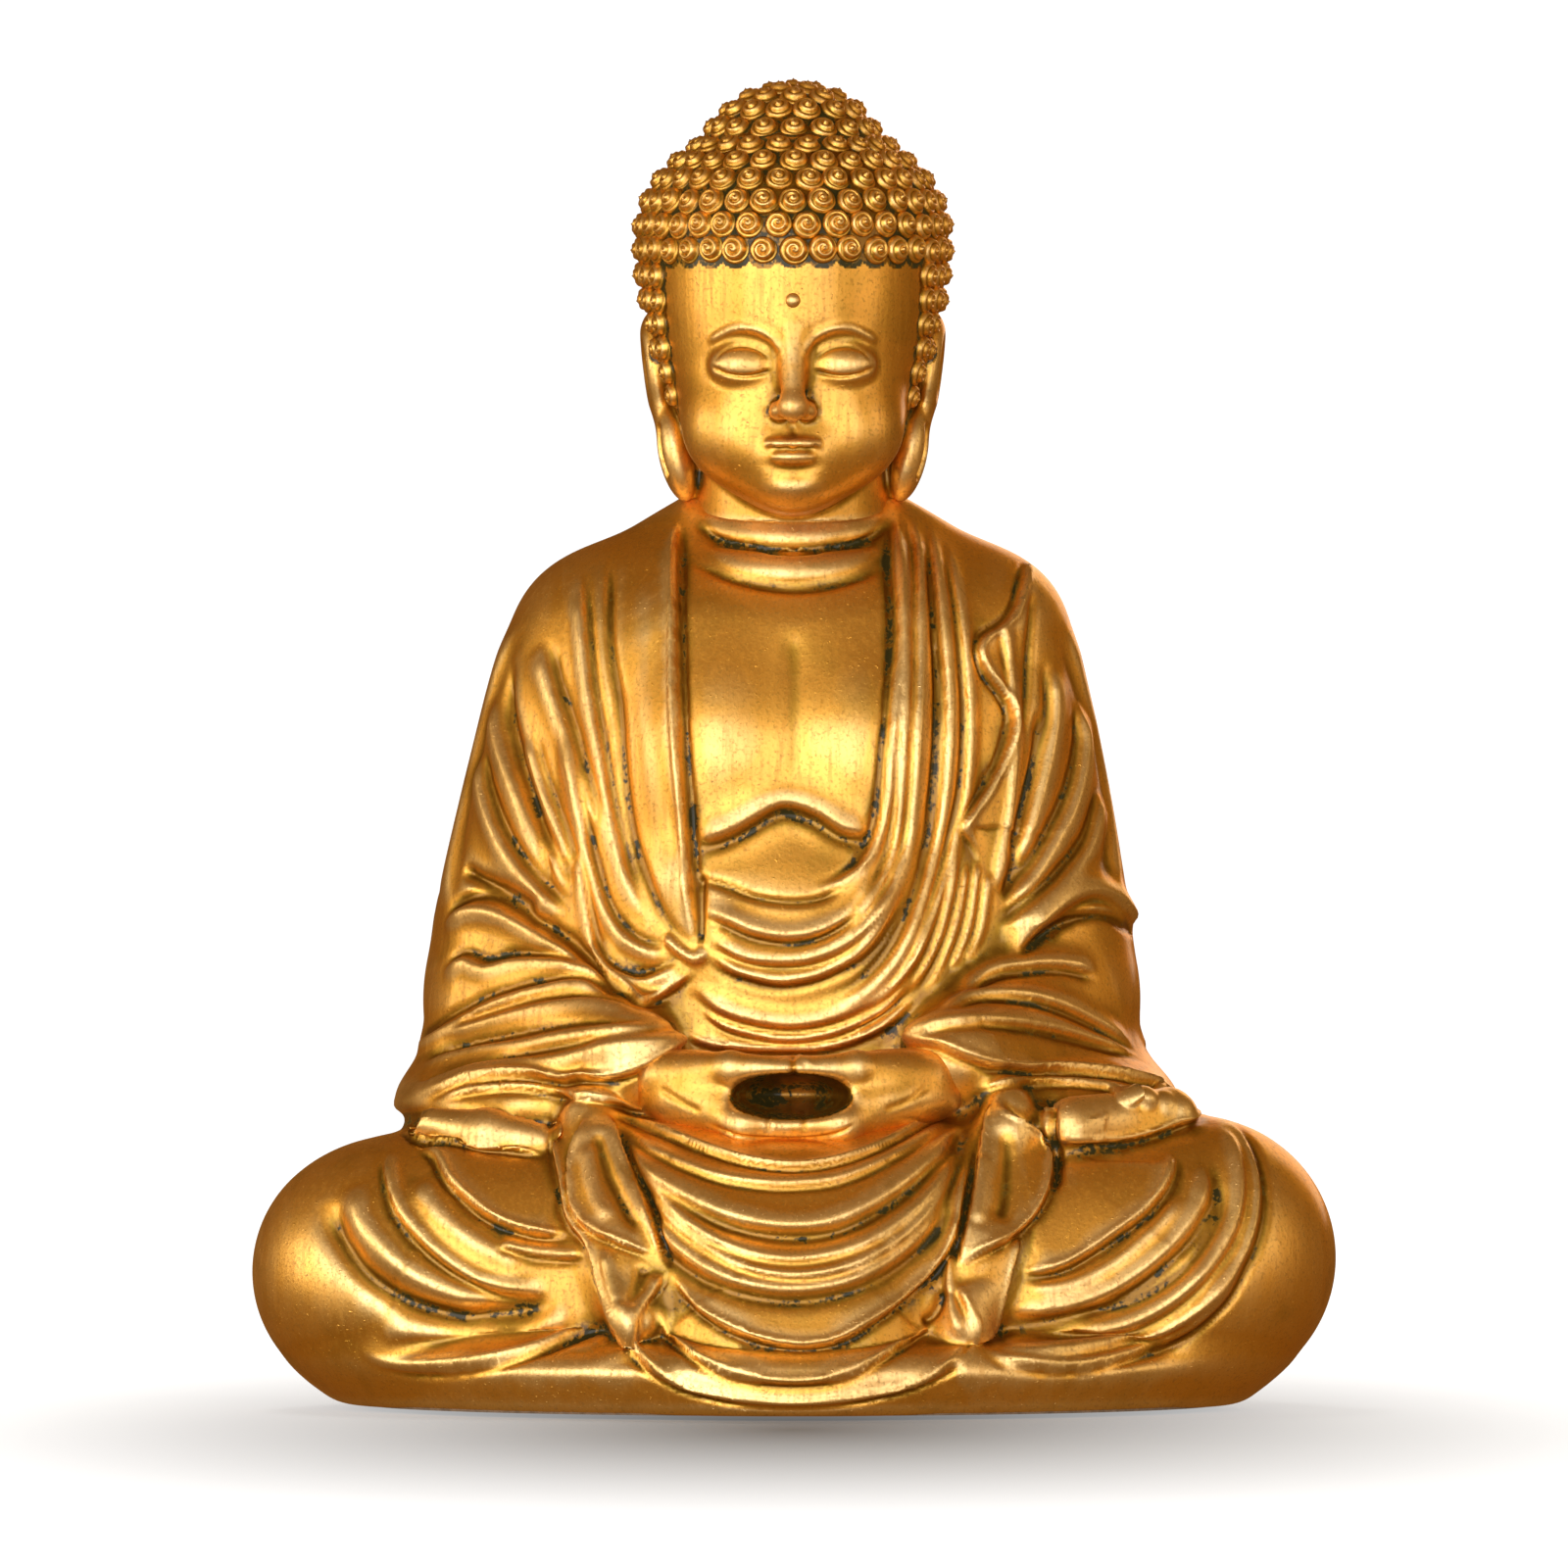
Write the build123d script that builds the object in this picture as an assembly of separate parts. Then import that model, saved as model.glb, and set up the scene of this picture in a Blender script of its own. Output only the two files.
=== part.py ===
from build123d import *
import os
from math import asin, cos, pi, radians, sin, sqrt

# Seated meditation figure, built as hollow castings that are bonded together.
# Millimetres. +Z is up, -Y is the side the figure faces, and the origin is the
# middle of the footprint on the surface that it stands on.

# ---- driving dimensions -------------------------------------------------------
WIDTH = 244.0          # across the knees
DEPTH = 165.0          # front hem to the back of the seat
TALL = 300.0           # pads to the top of the curls on the crown
PAD_T = 1.0            # felt pads under the base board
WALL = 6.0             # casting wall
DECK_Z = 66.0          # bond plane between the leg casting and the torso casting
NECK_Z = 199.0         # bond plane between the torso casting and the head casting

# ---- legs ---------------------------------------------------------------------
KNEE_Y = -20.0         # where the legs are widest, front to back
FRONT = -DEPTH / 2
BACK = DEPTH / 2
BASE_Z = PAD_T
# height, half width, front, back
LEG_SECTIONS = [
    (BASE_Z, 100.0, FRONT + 2, 64.0),
    (8.0, 110.0, FRONT, 71.0),
    (20.0, 118.5, FRONT + 2, 78.0),
    (34.0, WIDTH / 2, FRONT + 6, BACK),
    (46.0, 119.0, FRONT + 14, BACK - 1),
    (57.0, 107.0, FRONT + 22, BACK - 4),
    (DECK_Z, 91.0, FRONT + 29, BACK - 8),
]
DECK_T = 12.0          # solid deck under the torso
DECK_HOLE_R = 24.0     # pour hole through the deck
PLATE_T = 4.0          # base board
PLATE_RIM = 4.0        # casting left outside the base board
LEDGE = 4.0            # what the base board rests on

# ---- torso --------------------------------------------------------------------
TORSO_Y = 20.0         # where the torso is widest
TORSO_SECTIONS = [
    (DECK_Z, 80.0, -24.0, 73.0),
    (86.0, 80.5, -25.0, 72.0),
    (108.0, 78.0, -22.0, 71.0),
    (130.0, 74.0, -20.0, 69.0),
    (150.0, 69.5, -19.0, 66.0),
    (169.0, 63.5, -15.0, 62.0),
    (183.0, 56.5, -8.0, 57.0),
    (193.0, 46.0, -2.0, 51.0),
    (NECK_Z, 30.0, 0.0, 45.0),
]
FLANGE_W = 18.0        # ring that is bonded to the deck
FLANGE_T = 12.0
SOCKET_R = 15.0        # neck socket
SOCKET_DEPTH = 16.0
SOCKET_WALL = 6.0
ELBOW = (60.0, 22.0, 92.0)
WRIST = (30.0, -34.0, 77.0)
ELBOW_R = 19.0
WRIST_R = 12.0

# ---- hands --------------------------------------------------------------------
HANDS_Y = -40.0
HANDS_Z = 75.0
# distance from the middle, y, z, and the two half sizes of the section there
HAND_SECTIONS = [
    (0.0, HANDS_Y, HANDS_Z, 13.5, 8.6),
    (12.0, HANDS_Y, HANDS_Z, 13.8, 8.8),
    (24.0, HANDS_Y + 2, HANDS_Z + 0.5, 10.5, 8.2),
    (33.0, HANDS_Y + 5, HANDS_Z + 1, 8.0, 7.6),
]
THUMB_R = 2.8
THUMB_SPAN = 17.0      # from the middle to where each thumb leaves its hand
THUMB_TOP = 84.5       # middle line of the thumbs where they meet
POCKET = (13.0, 7.0)   # oval hollow under the thumbs
POCKET_DEPTH = 6.0
HAND_PEG_R = 2.5
HAND_PEG_L = 16.0
HAND_PEG_X = 14.0

# ---- head ---------------------------------------------------------------------
SKULL_AT = (0.0, 18.0, 254.0)
SKULL_R = (33.5, 38.0, 38.0)
CROWN_AT = (0.0, 22.0, 279.0)
CROWN_R = (21.0, 21.0, 18.0)
FACE_AT = (0.0, 9.0, 234.0)
FACE_R = (27.5, 27.5, 31.0)
NOSE_AT = (0.0, -18.0, 225.0)
NOSE_R = (5.0, 5.0, 9.0)
EAR_AT = (29.0, 18.0, 226.0)
EAR_R = (7.0, 21.0)    # half depth and half height of the ear's outline
EAR_T = 5.0
NECK_Y = 22.0
NECK_R = 20.5
NECK_TOP = 225.0
BEAD_AT_Z = 249.0
BEAD_R = 1.7
BEAD_PEG_L = 4.0

# ---- hair curls ---------------------------------------------------------------
CURL_R = 3.1
CURL_TOP_R = 1.1
CURL_H = 3.0
BOND_T = 0.05          # adhesive under each curl
CURL_PITCH = 6.5       # along a row
ROW_PITCH = 5.7        # between rows
HAIRLINE_Z = 261.0
NAPE_Z = 222.0
EAR_CLEAR = (9.5, 13.0, 24.0)   # half sizes of the space that each ear takes
FACE_HALF_ANGLE = 58.0          # the rows below the hairline stop this far from the front
ROWS_ABOVE_HAIRLINE = 6
CURL_GAP = 0.2                  # between a curl and a surface that it doesn't sit on
RIM_ANGLES = [i * pi / 4 for i in range(8)]

# ---- fasteners and feet ---------------------------------------------------------
DOWEL_R = 3.0
DOWEL_L = 20.0
DOWEL_AT = [(-52.0, 44.0), (52.0, 44.0), (-58.0, 2.0), (58.0, 2.0)]
PAD_R = 9.0
PAD_AT = [(-70.0, -22.0), (70.0, -22.0), (-42.0, 44.0), (42.0, 44.0)]


def outline(z, half_width, front, back, widest_y, inset=0.0):
    """A flat egg-shaped section: a short half ellipse in front, a long one behind."""
    steps = 24
    points = []
    for i in range(steps):
        angle = 2 * pi * i / steps
        reach = (back - widest_y) if sin(angle) >= 0 else (widest_y - front)
        x = (half_width - inset) * cos(angle)
        y = widest_y + (reach - inset) * sin(angle)
        points.append((x, y, z))
    return make_face(Spline(*points, periodic=True))


def stack(sections, widest_y, inset=0.0, low=None, high=None):
    """A smooth solid through sections, taken in by inset, between two heights."""
    rings = []
    for z, half_width, front, back in sections:
        rings.append(outline(z, half_width, front, back, widest_y, inset))
    solid = loft(rings)
    box = solid.bounding_box()
    low = box.min.Z if low is None else low
    high = box.max.Z if high is None else high
    if low > box.min.Z or high < box.max.Z:
        middle = (low + high) / 2
        solid &= Pos(0, 0, middle) * Box(4 * WIDTH, 4 * DEPTH, high - low)
    return solid


def section_at(sections, z):
    """Half width, front and back of the sections at height z, between two of them."""
    for lower, upper in zip(sections, sections[1:]):
        if lower[0] <= z <= upper[0]:
            share = (z - lower[0]) / (upper[0] - lower[0])
            return [a + (b - a) * share for a, b in zip(lower[1:], upper[1:])]
    raise ValueError(z)


def egg(at, radii, inset=0.0):
    """A solid egg shape, taken in by inset on every side."""
    mean_r = sum(radii) / len(radii)
    return Pos(*at) * scale(Sphere(mean_r), by=tuple((r - inset) / mean_r for r in radii))


def taper(a, b, radius_a, radius_b):
    """A tapered round bar with flat ends."""
    start = Vector(*a)
    along = Vector(*b) - start
    return Plane(origin=start, z_dir=along) * Cone(
        radius_a, radius_b, along.length, align=(Align.CENTER, Align.CENTER, Align.MIN)
    )


def cylinder(x, y, low, high, radius):
    return Pos(x, y, (low + high) / 2) * Cylinder(radius, high - low)


# ---- the pieces -----------------------------------------------------------------
def make_dowels():
    """Dowels that locate the torso on the deck, half in each casting."""
    return [
        cylinder(x, y, DECK_Z - DOWEL_L / 2, DECK_Z + DOWEL_L / 2, DOWEL_R)
        for x, y in DOWEL_AT
    ]


def make_hand_pegs():
    return [
        cylinder(x, HANDS_Y, DECK_Z - HAND_PEG_L / 2, DECK_Z + HAND_PEG_L / 2, HAND_PEG_R)
        for x in (-HAND_PEG_X, HAND_PEG_X)
    ]


def make_base_plate():
    """The flat board that closes the hollow legs."""
    half_width, front, back = section_at(LEG_SECTIONS, BASE_Z)
    face = outline(BASE_Z, half_width, front, back, KNEE_Y, PLATE_RIM)
    return extrude(face, PLATE_T, dir=(0, 0, 1))


def make_pads():
    return [cylinder(x, y, 0, PAD_T, PAD_R) for x, y in PAD_AT]


def make_legs(cutters):
    """Crossed legs and skirt: a shell with a deck on top and a rebated mouth below."""
    body = stack(LEG_SECTIONS, KNEE_Y)
    ledge_z = BASE_Z + PLATE_T
    mouth_inset = PLATE_RIM + LEDGE
    hollow = stack(LEG_SECTIONS, KNEE_Y, mouth_inset, high=DECK_Z - DECK_T)
    body -= hollow
    half_width, front, back = section_at(LEG_SECTIONS, BASE_Z)
    rebate = outline(BASE_Z, half_width, front, back, KNEE_Y, PLATE_RIM)
    body -= extrude(rebate, ledge_z - BASE_Z, dir=(0, 0, 1))
    body -= cylinder(0, TORSO_Y, DECK_Z - DECK_T - 1, DECK_Z + 1, DECK_HOLE_R)
    for cutter in cutters:
        body -= cutter
    return body


def make_hands(cutters):
    """Both hands laid one on the other, palms up, with the thumbs meeting."""
    rings = []
    for side in (-1, 1):
        places = HAND_SECTIONS[:0:-1] if side < 0 else HAND_SECTIONS
        for x, y, z, half_depth, half_height in places:
            plane = Plane(origin=(side * x, y, z), x_dir=(0, 1, 0), z_dir=(1, 0, 0))
            rings.append(plane * Ellipse(half_depth, half_height))
    hands = loft(rings)
    top = HANDS_Z + HAND_SECTIONS[0][-1]
    hands -= extrude(Plane(origin=(0, HANDS_Y, top)) * Ellipse(*POCKET), -POCKET_DEPTH)
    root_z = top - 2 * THUMB_R
    bridge = ThreePointArc(
        (-THUMB_SPAN, HANDS_Y, root_z), (0, HANDS_Y, THUMB_TOP), (THUMB_SPAN, HANDS_Y, root_z)
    )
    start = Plane(origin=bridge @ 0, z_dir=bridge % 0)
    hands += sweep(start * Circle(THUMB_R), path=bridge)
    for cutter in cutters:
        hands -= cutter
    return hands


def make_torso(hands, cutters):
    """Chest, shoulders and sleeves: a shell open below, with a flange and a neck socket."""
    sleeve = taper(ELBOW, WRIST, ELBOW_R, WRIST_R)
    body = stack(TORSO_SECTIONS, TORSO_Y) + sleeve + mirror(sleeve, about=Plane.YZ)
    body = body & Pos(0, 0, DECK_Z + TALL / 2) * Box(2 * WIDTH, 2 * DEPTH, TALL)
    socket_low = NECK_Z - SOCKET_DEPTH
    body -= stack(
        TORSO_SECTIONS, TORSO_Y, WALL, low=DECK_Z + FLANGE_T, high=socket_low - SOCKET_WALL
    )
    half_width, front, back = section_at(TORSO_SECTIONS, DECK_Z)
    mouth = outline(DECK_Z, half_width, front, back, TORSO_Y, FLANGE_W)
    body -= extrude(mouth, FLANGE_T, dir=(0, 0, 1))
    body -= cylinder(0, NECK_Y, socket_low, NECK_Z + 1, SOCKET_R)
    body -= hands
    for cutter in cutters:
        body -= cutter
    return largest(body)


def largest(shape):
    """The biggest solid of a shape, without the crumbs that a cut leaves."""
    return max(shape.solids(), key=lambda s: s.volume)


def surface_y(z):
    """The front of the head on the middle plane, at height z."""
    up = (z - FACE_AT[2]) / FACE_R[2]
    skull_up = (z - SKULL_AT[2]) / SKULL_R[2]
    face = FACE_AT[1] - FACE_R[1] * sqrt(1 - up * up)
    skull = SKULL_AT[1] - SKULL_R[1] * sqrt(1 - skull_up * skull_up)
    return min(face, skull)


def make_bead():
    """Round bead on the forehead, on a peg that is bonded into a drilled hole."""
    y = surface_y(BEAD_AT_Z)
    head = Pos(0, y - 0.2, BEAD_AT_Z) * Sphere(BEAD_R)
    peg = Plane(origin=(0, y, BEAD_AT_Z), z_dir=(0, 1, 0)) * Cylinder(
        BEAD_R, BEAD_PEG_L, align=(Align.CENTER, Align.CENTER, Align.MIN)
    )
    return head + peg


def make_head(bead):
    """Face, skull, crown, ears and neck in one hollow casting, with a spigot below."""
    outer = egg(SKULL_AT, SKULL_R) + egg(CROWN_AT, CROWN_R) + egg(FACE_AT, FACE_R)
    outer += egg(NOSE_AT, NOSE_R)
    ear = extrude(Plane.YZ * Ellipse(*EAR_R), EAR_T / 2, both=True)
    for side in (-1, 1):
        outer += Pos(side * EAR_AT[0], EAR_AT[1], EAR_AT[2]) * ear
    outer += cylinder(0, NECK_Y, NECK_Z, NECK_TOP, NECK_R)
    outer += cylinder(0, NECK_Y, NECK_Z - SOCKET_DEPTH, NECK_Z, SOCKET_R)
    outer -= egg(SKULL_AT, SKULL_R, WALL)
    return largest(outer - bead)


def on_egg(at, radii, lift, turn):
    """A point on an egg shape and the outward direction there. Turn 0 is the front."""
    unit = Vector(sin(turn) * cos(lift), -cos(turn) * cos(lift), sin(lift))
    point = Vector(*(c + r * u for c, r, u in zip(at, radii, unit)))
    outward = Vector(*(u / r for r, u in zip(radii, unit))).normalized()
    return point, outward


def curl(point, outward):
    foot = point + outward * BOND_T
    return Plane(origin=foot, z_dir=outward) * Cone(
        CURL_R, CURL_TOP_R, CURL_H, align=(Align.CENTER, Align.CENTER, Align.MIN)
    )


def clears(place, at, radii, gap):
    """Whether a curl's round foot stays outside an egg shape grown by a gap."""
    point, outward = place
    foot = Plane(origin=point, z_dir=outward)
    rim = [foot.from_local_coords((CURL_R * cos(a), CURL_R * sin(a), 0)) for a in RIM_ANGLES]
    grown = [r + gap for r in radii]
    return all(sum(((p - c) / r) ** 2 for p, c, r in zip(at_rim, at, grown)) > 1 for at_rim in rim)


def clears_ears(point):
    """Whether a curl at this point leaves both ears free."""
    from_ear = (abs(point.X) - EAR_AT[0], point.Y - EAR_AT[1], point.Z - EAR_AT[2])
    return any(abs(d) > room for d, room in zip(from_ear, EAR_CLEAR))


def curl_row(at, radii, lift, half_turn, row):
    """Evenly spaced places round one row, from half_turn off the front to the back.

    Odd rows stand half a curl along from even rows, and each row is the same on both sides."""
    mean_r = (radii[0] + radii[1]) / 2 * cos(lift)
    span = 2 * pi - 2 * half_turn
    count = max(1, 2 * round(span * mean_r / CURL_PITCH / 2) + (row % 2 if half_turn else 0))
    shift = 0.5 if half_turn or row % 2 else 0.0
    return [
        on_egg(at, radii, lift, half_turn + span * (i + shift) / count)
        for i in range(count)
    ]


def make_skull_curls():
    """Rows of snail curls round the skull, from the nape up to the foot of the crown."""
    curls = []
    first = asin((HAIRLINE_Z - SKULL_AT[2]) / SKULL_R[2])
    step = ROW_PITCH / SKULL_R[2]
    lowest = -int((HAIRLINE_Z - NAPE_Z) / ROW_PITCH)
    for row in range(lowest, ROWS_ABOVE_HAIRLINE):
        half_turn = radians(FACE_HALF_ANGLE) if row < 0 else 0.0
        for place in curl_row(SKULL_AT, SKULL_R, first + row * step, half_turn, row):
            on_crown = not clears(place, CROWN_AT, CROWN_R, CURL_H)
            on_face = not clears(place, FACE_AT, FACE_R, CURL_GAP)
            if clears_ears(place[0]) and not on_crown and not on_face:
                curls.append(curl(*place))
    return curls


def make_crown_curls():
    """Rows of snail curls over the crown, down to where it meets the skull."""
    curls = []
    step = ROW_PITCH / CROWN_R[2]
    rows = int(pi / 2 / step)
    for row in range(rows + 1):
        lift = pi / 2 - row * step
        for place in curl_row(CROWN_AT, CROWN_R, lift, 0.0, row):
            if clears(place, SKULL_AT, SKULL_R, CURL_GAP):
                curls.append(curl(*place))
    return curls


def main():
    os.makedirs("parts", exist_ok=True)
    dowels = make_dowels()
    pegs = make_hand_pegs()
    hands = make_hands(pegs)
    bead = make_bead()
    pieces = {
        "leg_casting": make_legs(dowels + pegs),
        "torso_casting": make_torso(hands, dowels),
        "hands_casting": hands,
        "head_casting": make_head(bead),
        "skull_curls": Compound(children=make_skull_curls()),
        "crown_curls": Compound(children=make_crown_curls()),
        "forehead_bead": bead,
        "base_plate": make_base_plate(),
        "felt_pads": Compound(children=make_pads()),
        "torso_dowels": Compound(children=dowels),
        "hand_pegs": Compound(children=pegs),
    }
    for name, shape in pieces.items():
        export_step(shape, f"parts/{name}.step")
        print(name, len(shape.solids()))


if __name__ == "__main__":
    main()
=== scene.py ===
from math import cos, pi, radians, sin

import bmesh
import bpy
import numpy as np
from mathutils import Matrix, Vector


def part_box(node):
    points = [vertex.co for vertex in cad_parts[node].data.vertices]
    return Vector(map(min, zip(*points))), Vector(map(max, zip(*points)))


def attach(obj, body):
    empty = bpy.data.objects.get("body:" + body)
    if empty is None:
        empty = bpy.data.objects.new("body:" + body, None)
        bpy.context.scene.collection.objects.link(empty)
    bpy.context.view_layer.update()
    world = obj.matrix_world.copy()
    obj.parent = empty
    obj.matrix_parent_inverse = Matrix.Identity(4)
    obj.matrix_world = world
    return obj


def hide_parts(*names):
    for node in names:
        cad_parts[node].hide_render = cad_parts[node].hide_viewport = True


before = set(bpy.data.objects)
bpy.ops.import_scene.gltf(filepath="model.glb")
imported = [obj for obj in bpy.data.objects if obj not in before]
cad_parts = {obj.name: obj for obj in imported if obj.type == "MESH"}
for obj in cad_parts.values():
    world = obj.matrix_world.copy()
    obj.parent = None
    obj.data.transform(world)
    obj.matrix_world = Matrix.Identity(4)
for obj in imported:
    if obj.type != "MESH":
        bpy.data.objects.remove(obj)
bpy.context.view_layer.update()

import openvdb
from mathutils import Vector

# Shapes are worked out in millimetres in the row frame: +Z is up, -Y is the front, and +X is
# to the right when the figure is seen from the front. MM turns them into metres.
MM = 0.001
DECK_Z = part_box("leg_casting")[1][2] / MM      # bond plane between the legs and the torso
FLOOR_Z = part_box("leg_casting")[0][2] / MM     # underside of the leg casting


# ---- solid shapes as distance fields -----------------------------------------------------
def ball(p, at, r):
    return np.linalg.norm(p - np.array(at), axis=1) - r


def egg(p, at, radii, lean=0.0):
    """An ellipsoid. lean slides it along X by that much for each unit of height."""
    q = p - np.array(at)
    q = np.stack([q[:, 0] - lean * q[:, 2], q[:, 1], q[:, 2]], 1) / np.array(radii)
    reach = np.linalg.norm(q, axis=1) + 1e-9
    slope = np.linalg.norm(q / np.array(radii), axis=1) + 1e-9
    return reach * (reach - 1) / slope


def bar(p, a, b, ra, rb):
    """A round bar from a to b whose radius changes evenly from ra to rb."""
    a, b = np.array(a, float), np.array(b, float)
    along = b - a
    share = np.clip((p - a) @ along / (along @ along), 0, 1)
    near = a + share[:, None] * along
    return np.linalg.norm(p - near, axis=1) - (ra + (rb - ra) * share)


def join(a, b, soft):
    """Both shapes, with a fillet about soft wide between them."""
    over = np.maximum(soft - np.abs(a - b), 0) / soft
    return np.minimum(a, b) - over * over * soft / 4


def cut(a, b, soft):
    """Shape a without shape b."""
    return -join(-a, b, soft)


def smoothed(table, step=1.0, window=9):
    """A table whose first column is a height, as a function from height to the other columns."""
    table = np.array(table, float)
    heights = np.arange(table[0, 0], table[-1, 0] + step, step)
    box = np.ones(window) / window
    columns = []
    for column in table[:, 1:].T:
        values = np.interp(heights, table[:, 0], column)
        for _ in range(2):
            ends = np.pad(values, window // 2, mode="edge")
            values = np.convolve(ends, box, mode="valid")
        columns.append(values)
    return lambda z: [np.interp(z, heights, values) for values in columns]


def column(p, widths, middle_y, power):
    """A shape from its left and right half widths, front and back at each height."""
    left, right, front, back = widths(p[:, 2])
    half = np.where(p[:, 0] < 0, left, right)
    reach = np.where(p[:, 1] < middle_y, middle_y - front, back - middle_y)
    q = np.abs(p[:, 0] / half) ** power + np.abs((p[:, 1] - middle_y) / reach) ** power
    return (q ** (1 / power) - 1) * np.minimum((left + right) / 2, (back - front) / 2)


def slope_of(shape, p, step=0.3):
    """The outward direction of a field at p, and how fast the field grows there."""
    grad = np.empty_like(p)
    for axis in range(3):
        shift = np.zeros(3)
        shift[axis] = step
        grad[:, axis] = (shape(p + shift) - shape(p - shift)) / (2 * step)
    size = np.linalg.norm(grad, axis=1, keepdims=True) + 1e-9
    return grad / size, size[:, 0]


# ---- from a field to an even mesh ---------------------------------------------------------
def coarse_mesh(shape, low, high, cell):
    """Quads on the surface of a field, one cell in size."""
    axes = [np.arange(a, b + cell, cell) for a, b in zip(low, high)]
    spots = np.stack(np.meshgrid(*axes, indexing="ij"), -1)
    field = shape(spots.reshape(-1, 3)).reshape(spots.shape[:3])
    grid = openvdb.FloatGrid(float(cell))
    grid.copyFromArray(np.ascontiguousarray(field, dtype=np.float64))
    points, quads = grid.convertToQuads(0.0)
    points = np.asarray(points, float) * cell + np.array(low, float)
    quads = np.asarray(quads, np.int64)
    corners = points[quads]
    sides = np.cross(corners[:, 2] - corners[:, 0], corners[:, 3] - corners[:, 1])
    if np.sum(sides * corners.mean(1)) < 0:
        quads = quads[:, ::-1]
    return points, quads


def edges_of(quads):
    """Every edge once, and for side i of each quad the number of its edge."""
    sides = np.concatenate([quads[:, [i, (i + 1) % 4]] for i in range(4)])
    sides.sort(axis=1)
    most = int(quads.max()) + 1
    keys, place = np.unique(sides[:, 0] * most + sides[:, 1], return_inverse=True)
    return np.stack([keys // most, keys % most], 1), place.reshape(4, -1)


def split(points, quads):
    """Each quad becomes four."""
    edges, place = edges_of(quads)
    side = place + len(points)
    centre = len(points) + len(edges) + np.arange(len(quads))
    points = np.concatenate([points, points[edges].mean(1), points[quads].mean(1)])
    parts = [np.stack([quads[:, i], side[i], centre, side[i - 1]], 1) for i in range(4)]
    return points, np.concatenate(parts)


def averaged(values, edges):
    """Each point's value, averaged over its neighbours."""
    count = np.bincount(edges.ravel(), minlength=len(values)).astype(float)
    flat = values.reshape(len(values), -1)
    sums = np.zeros_like(flat)
    for i in range(flat.shape[1]):
        sums[:, i] = np.bincount(edges[:, 0], flat[edges[:, 1], i], len(values))
        sums[:, i] += np.bincount(edges[:, 1], flat[edges[:, 0], i], len(values))
    return (sums / count[:, None]).reshape(values.shape)


def settle(shape, points, steps=2):
    """Moves points onto the surface of a field."""
    for _ in range(steps):
        out, growth = slope_of(shape, points)
        points = points - out * (shape(points) / growth)[:, None]
    return points


def grow(shape, low, high, cell, splits):
    """An even mesh of a field, with quads of cell / 2 ** splits."""
    points, quads = coarse_mesh(shape, low, high, cell)
    for level in range(splits + 1):
        if level:
            points, quads = split(points, quads)
        edges, _ = edges_of(quads)
        points = settle(shape, averaged(points, edges), 2 if level else 3)
    return points, quads


# ---- folds --------------------------------------------------------------------------------
def curve_through(points, per_span=6):
    """A smooth line through the points, close enough together to be used as straight runs."""
    ends = np.array([2 * points[0] - points[1], *points, 2 * points[-1] - points[-2]])
    share = np.linspace(0, 1, per_span, endpoint=False)[:, None]
    runs = []
    for a, b, c, d in zip(ends, ends[1:], ends[2:], ends[3:]):
        runs.append(
            0.5 * (2 * b + (c - a) * share + (2 * a - 5 * b + 4 * c - d) * share ** 2
                   + (3 * b - a - 3 * c + d) * share ** 3)
        )
    return np.concatenate(runs + [ends[-2][None]])


RAY_FROM, RAY_TO, RAY_STEP = 130.0, -60.0, 2.0


def onto_surface(shape, flat, view):
    """Points given in a flat view, laid on the surface that faces that view.

    view is the direction that faces the viewer: "front", "back", "left" or "right". The first
    number of a flat point is X in the front and back views and Y in the side views."""
    flat = np.array(flat, float)
    axis, sign = {"front": (1, -1), "back": (1, 1), "left": (0, -1), "right": (0, 1)}[view]
    depths = np.arange(RAY_FROM, RAY_TO, -RAY_STEP)
    spots = np.empty((len(depths), len(flat), 3))
    spots[:, :, axis] = sign * depths[:, None]
    spots[:, :, 1 - axis] = flat[:, 0]
    spots[:, :, 2] = flat[:, 1]
    values = shape(spots.reshape(-1, 3)).reshape(spots.shape[:2])
    inside = values < 0
    ray = np.arange(len(flat))
    first = np.where(inside.any(0), inside.argmax(0), values.argmin(0))
    first = np.maximum(first, 1)
    outer, inner = values[first - 1, ray], values[first, ray]
    share = np.clip(outer / np.maximum(outer - inner, 1e-6), 0, 1)[:, None]
    return spots[first - 1, ray] * (1 - share) + spots[first, ray] * share


def profile(kind, s, width):
    """Height across a fold of height 1. s is the distance to the right of its line."""
    if kind == "ridge":
        return np.exp(-(s / width) ** 2)
    if kind == "groove":
        return -np.exp(-(s / width) ** 2)
    if kind == "pleat":      # rises gently on the left and drops steeply on the right
        rise = np.exp(-(s / (2.2 * width)) ** 2)
        drop = np.exp(-(s / (0.7 * width)) ** 2)
        furrow = 0.4 * np.exp(-((s - 1.6 * width) / (0.8 * width)) ** 2)
        return np.where(s < 0, rise, drop) - furrow
    # a hem: cloth that ends here, and lies over what is on the right of its line
    cloth = np.exp(np.minimum(s, 0) / (7 * width))
    edge = 1 / (1 + np.exp(np.clip(s / (0.22 * width), -30, 30)))
    lip = 0.35 * np.exp(-((s + 0.7 * width) / (0.6 * width)) ** 2)
    furrow = 0.25 * np.exp(-((s - 0.9 * width) / (0.6 * width)) ** 2)
    return (cloth + lip) * edge - furrow


REACH = {"ridge": 3, "groove": 3, "pleat": 5, "hem": 20}


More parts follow.
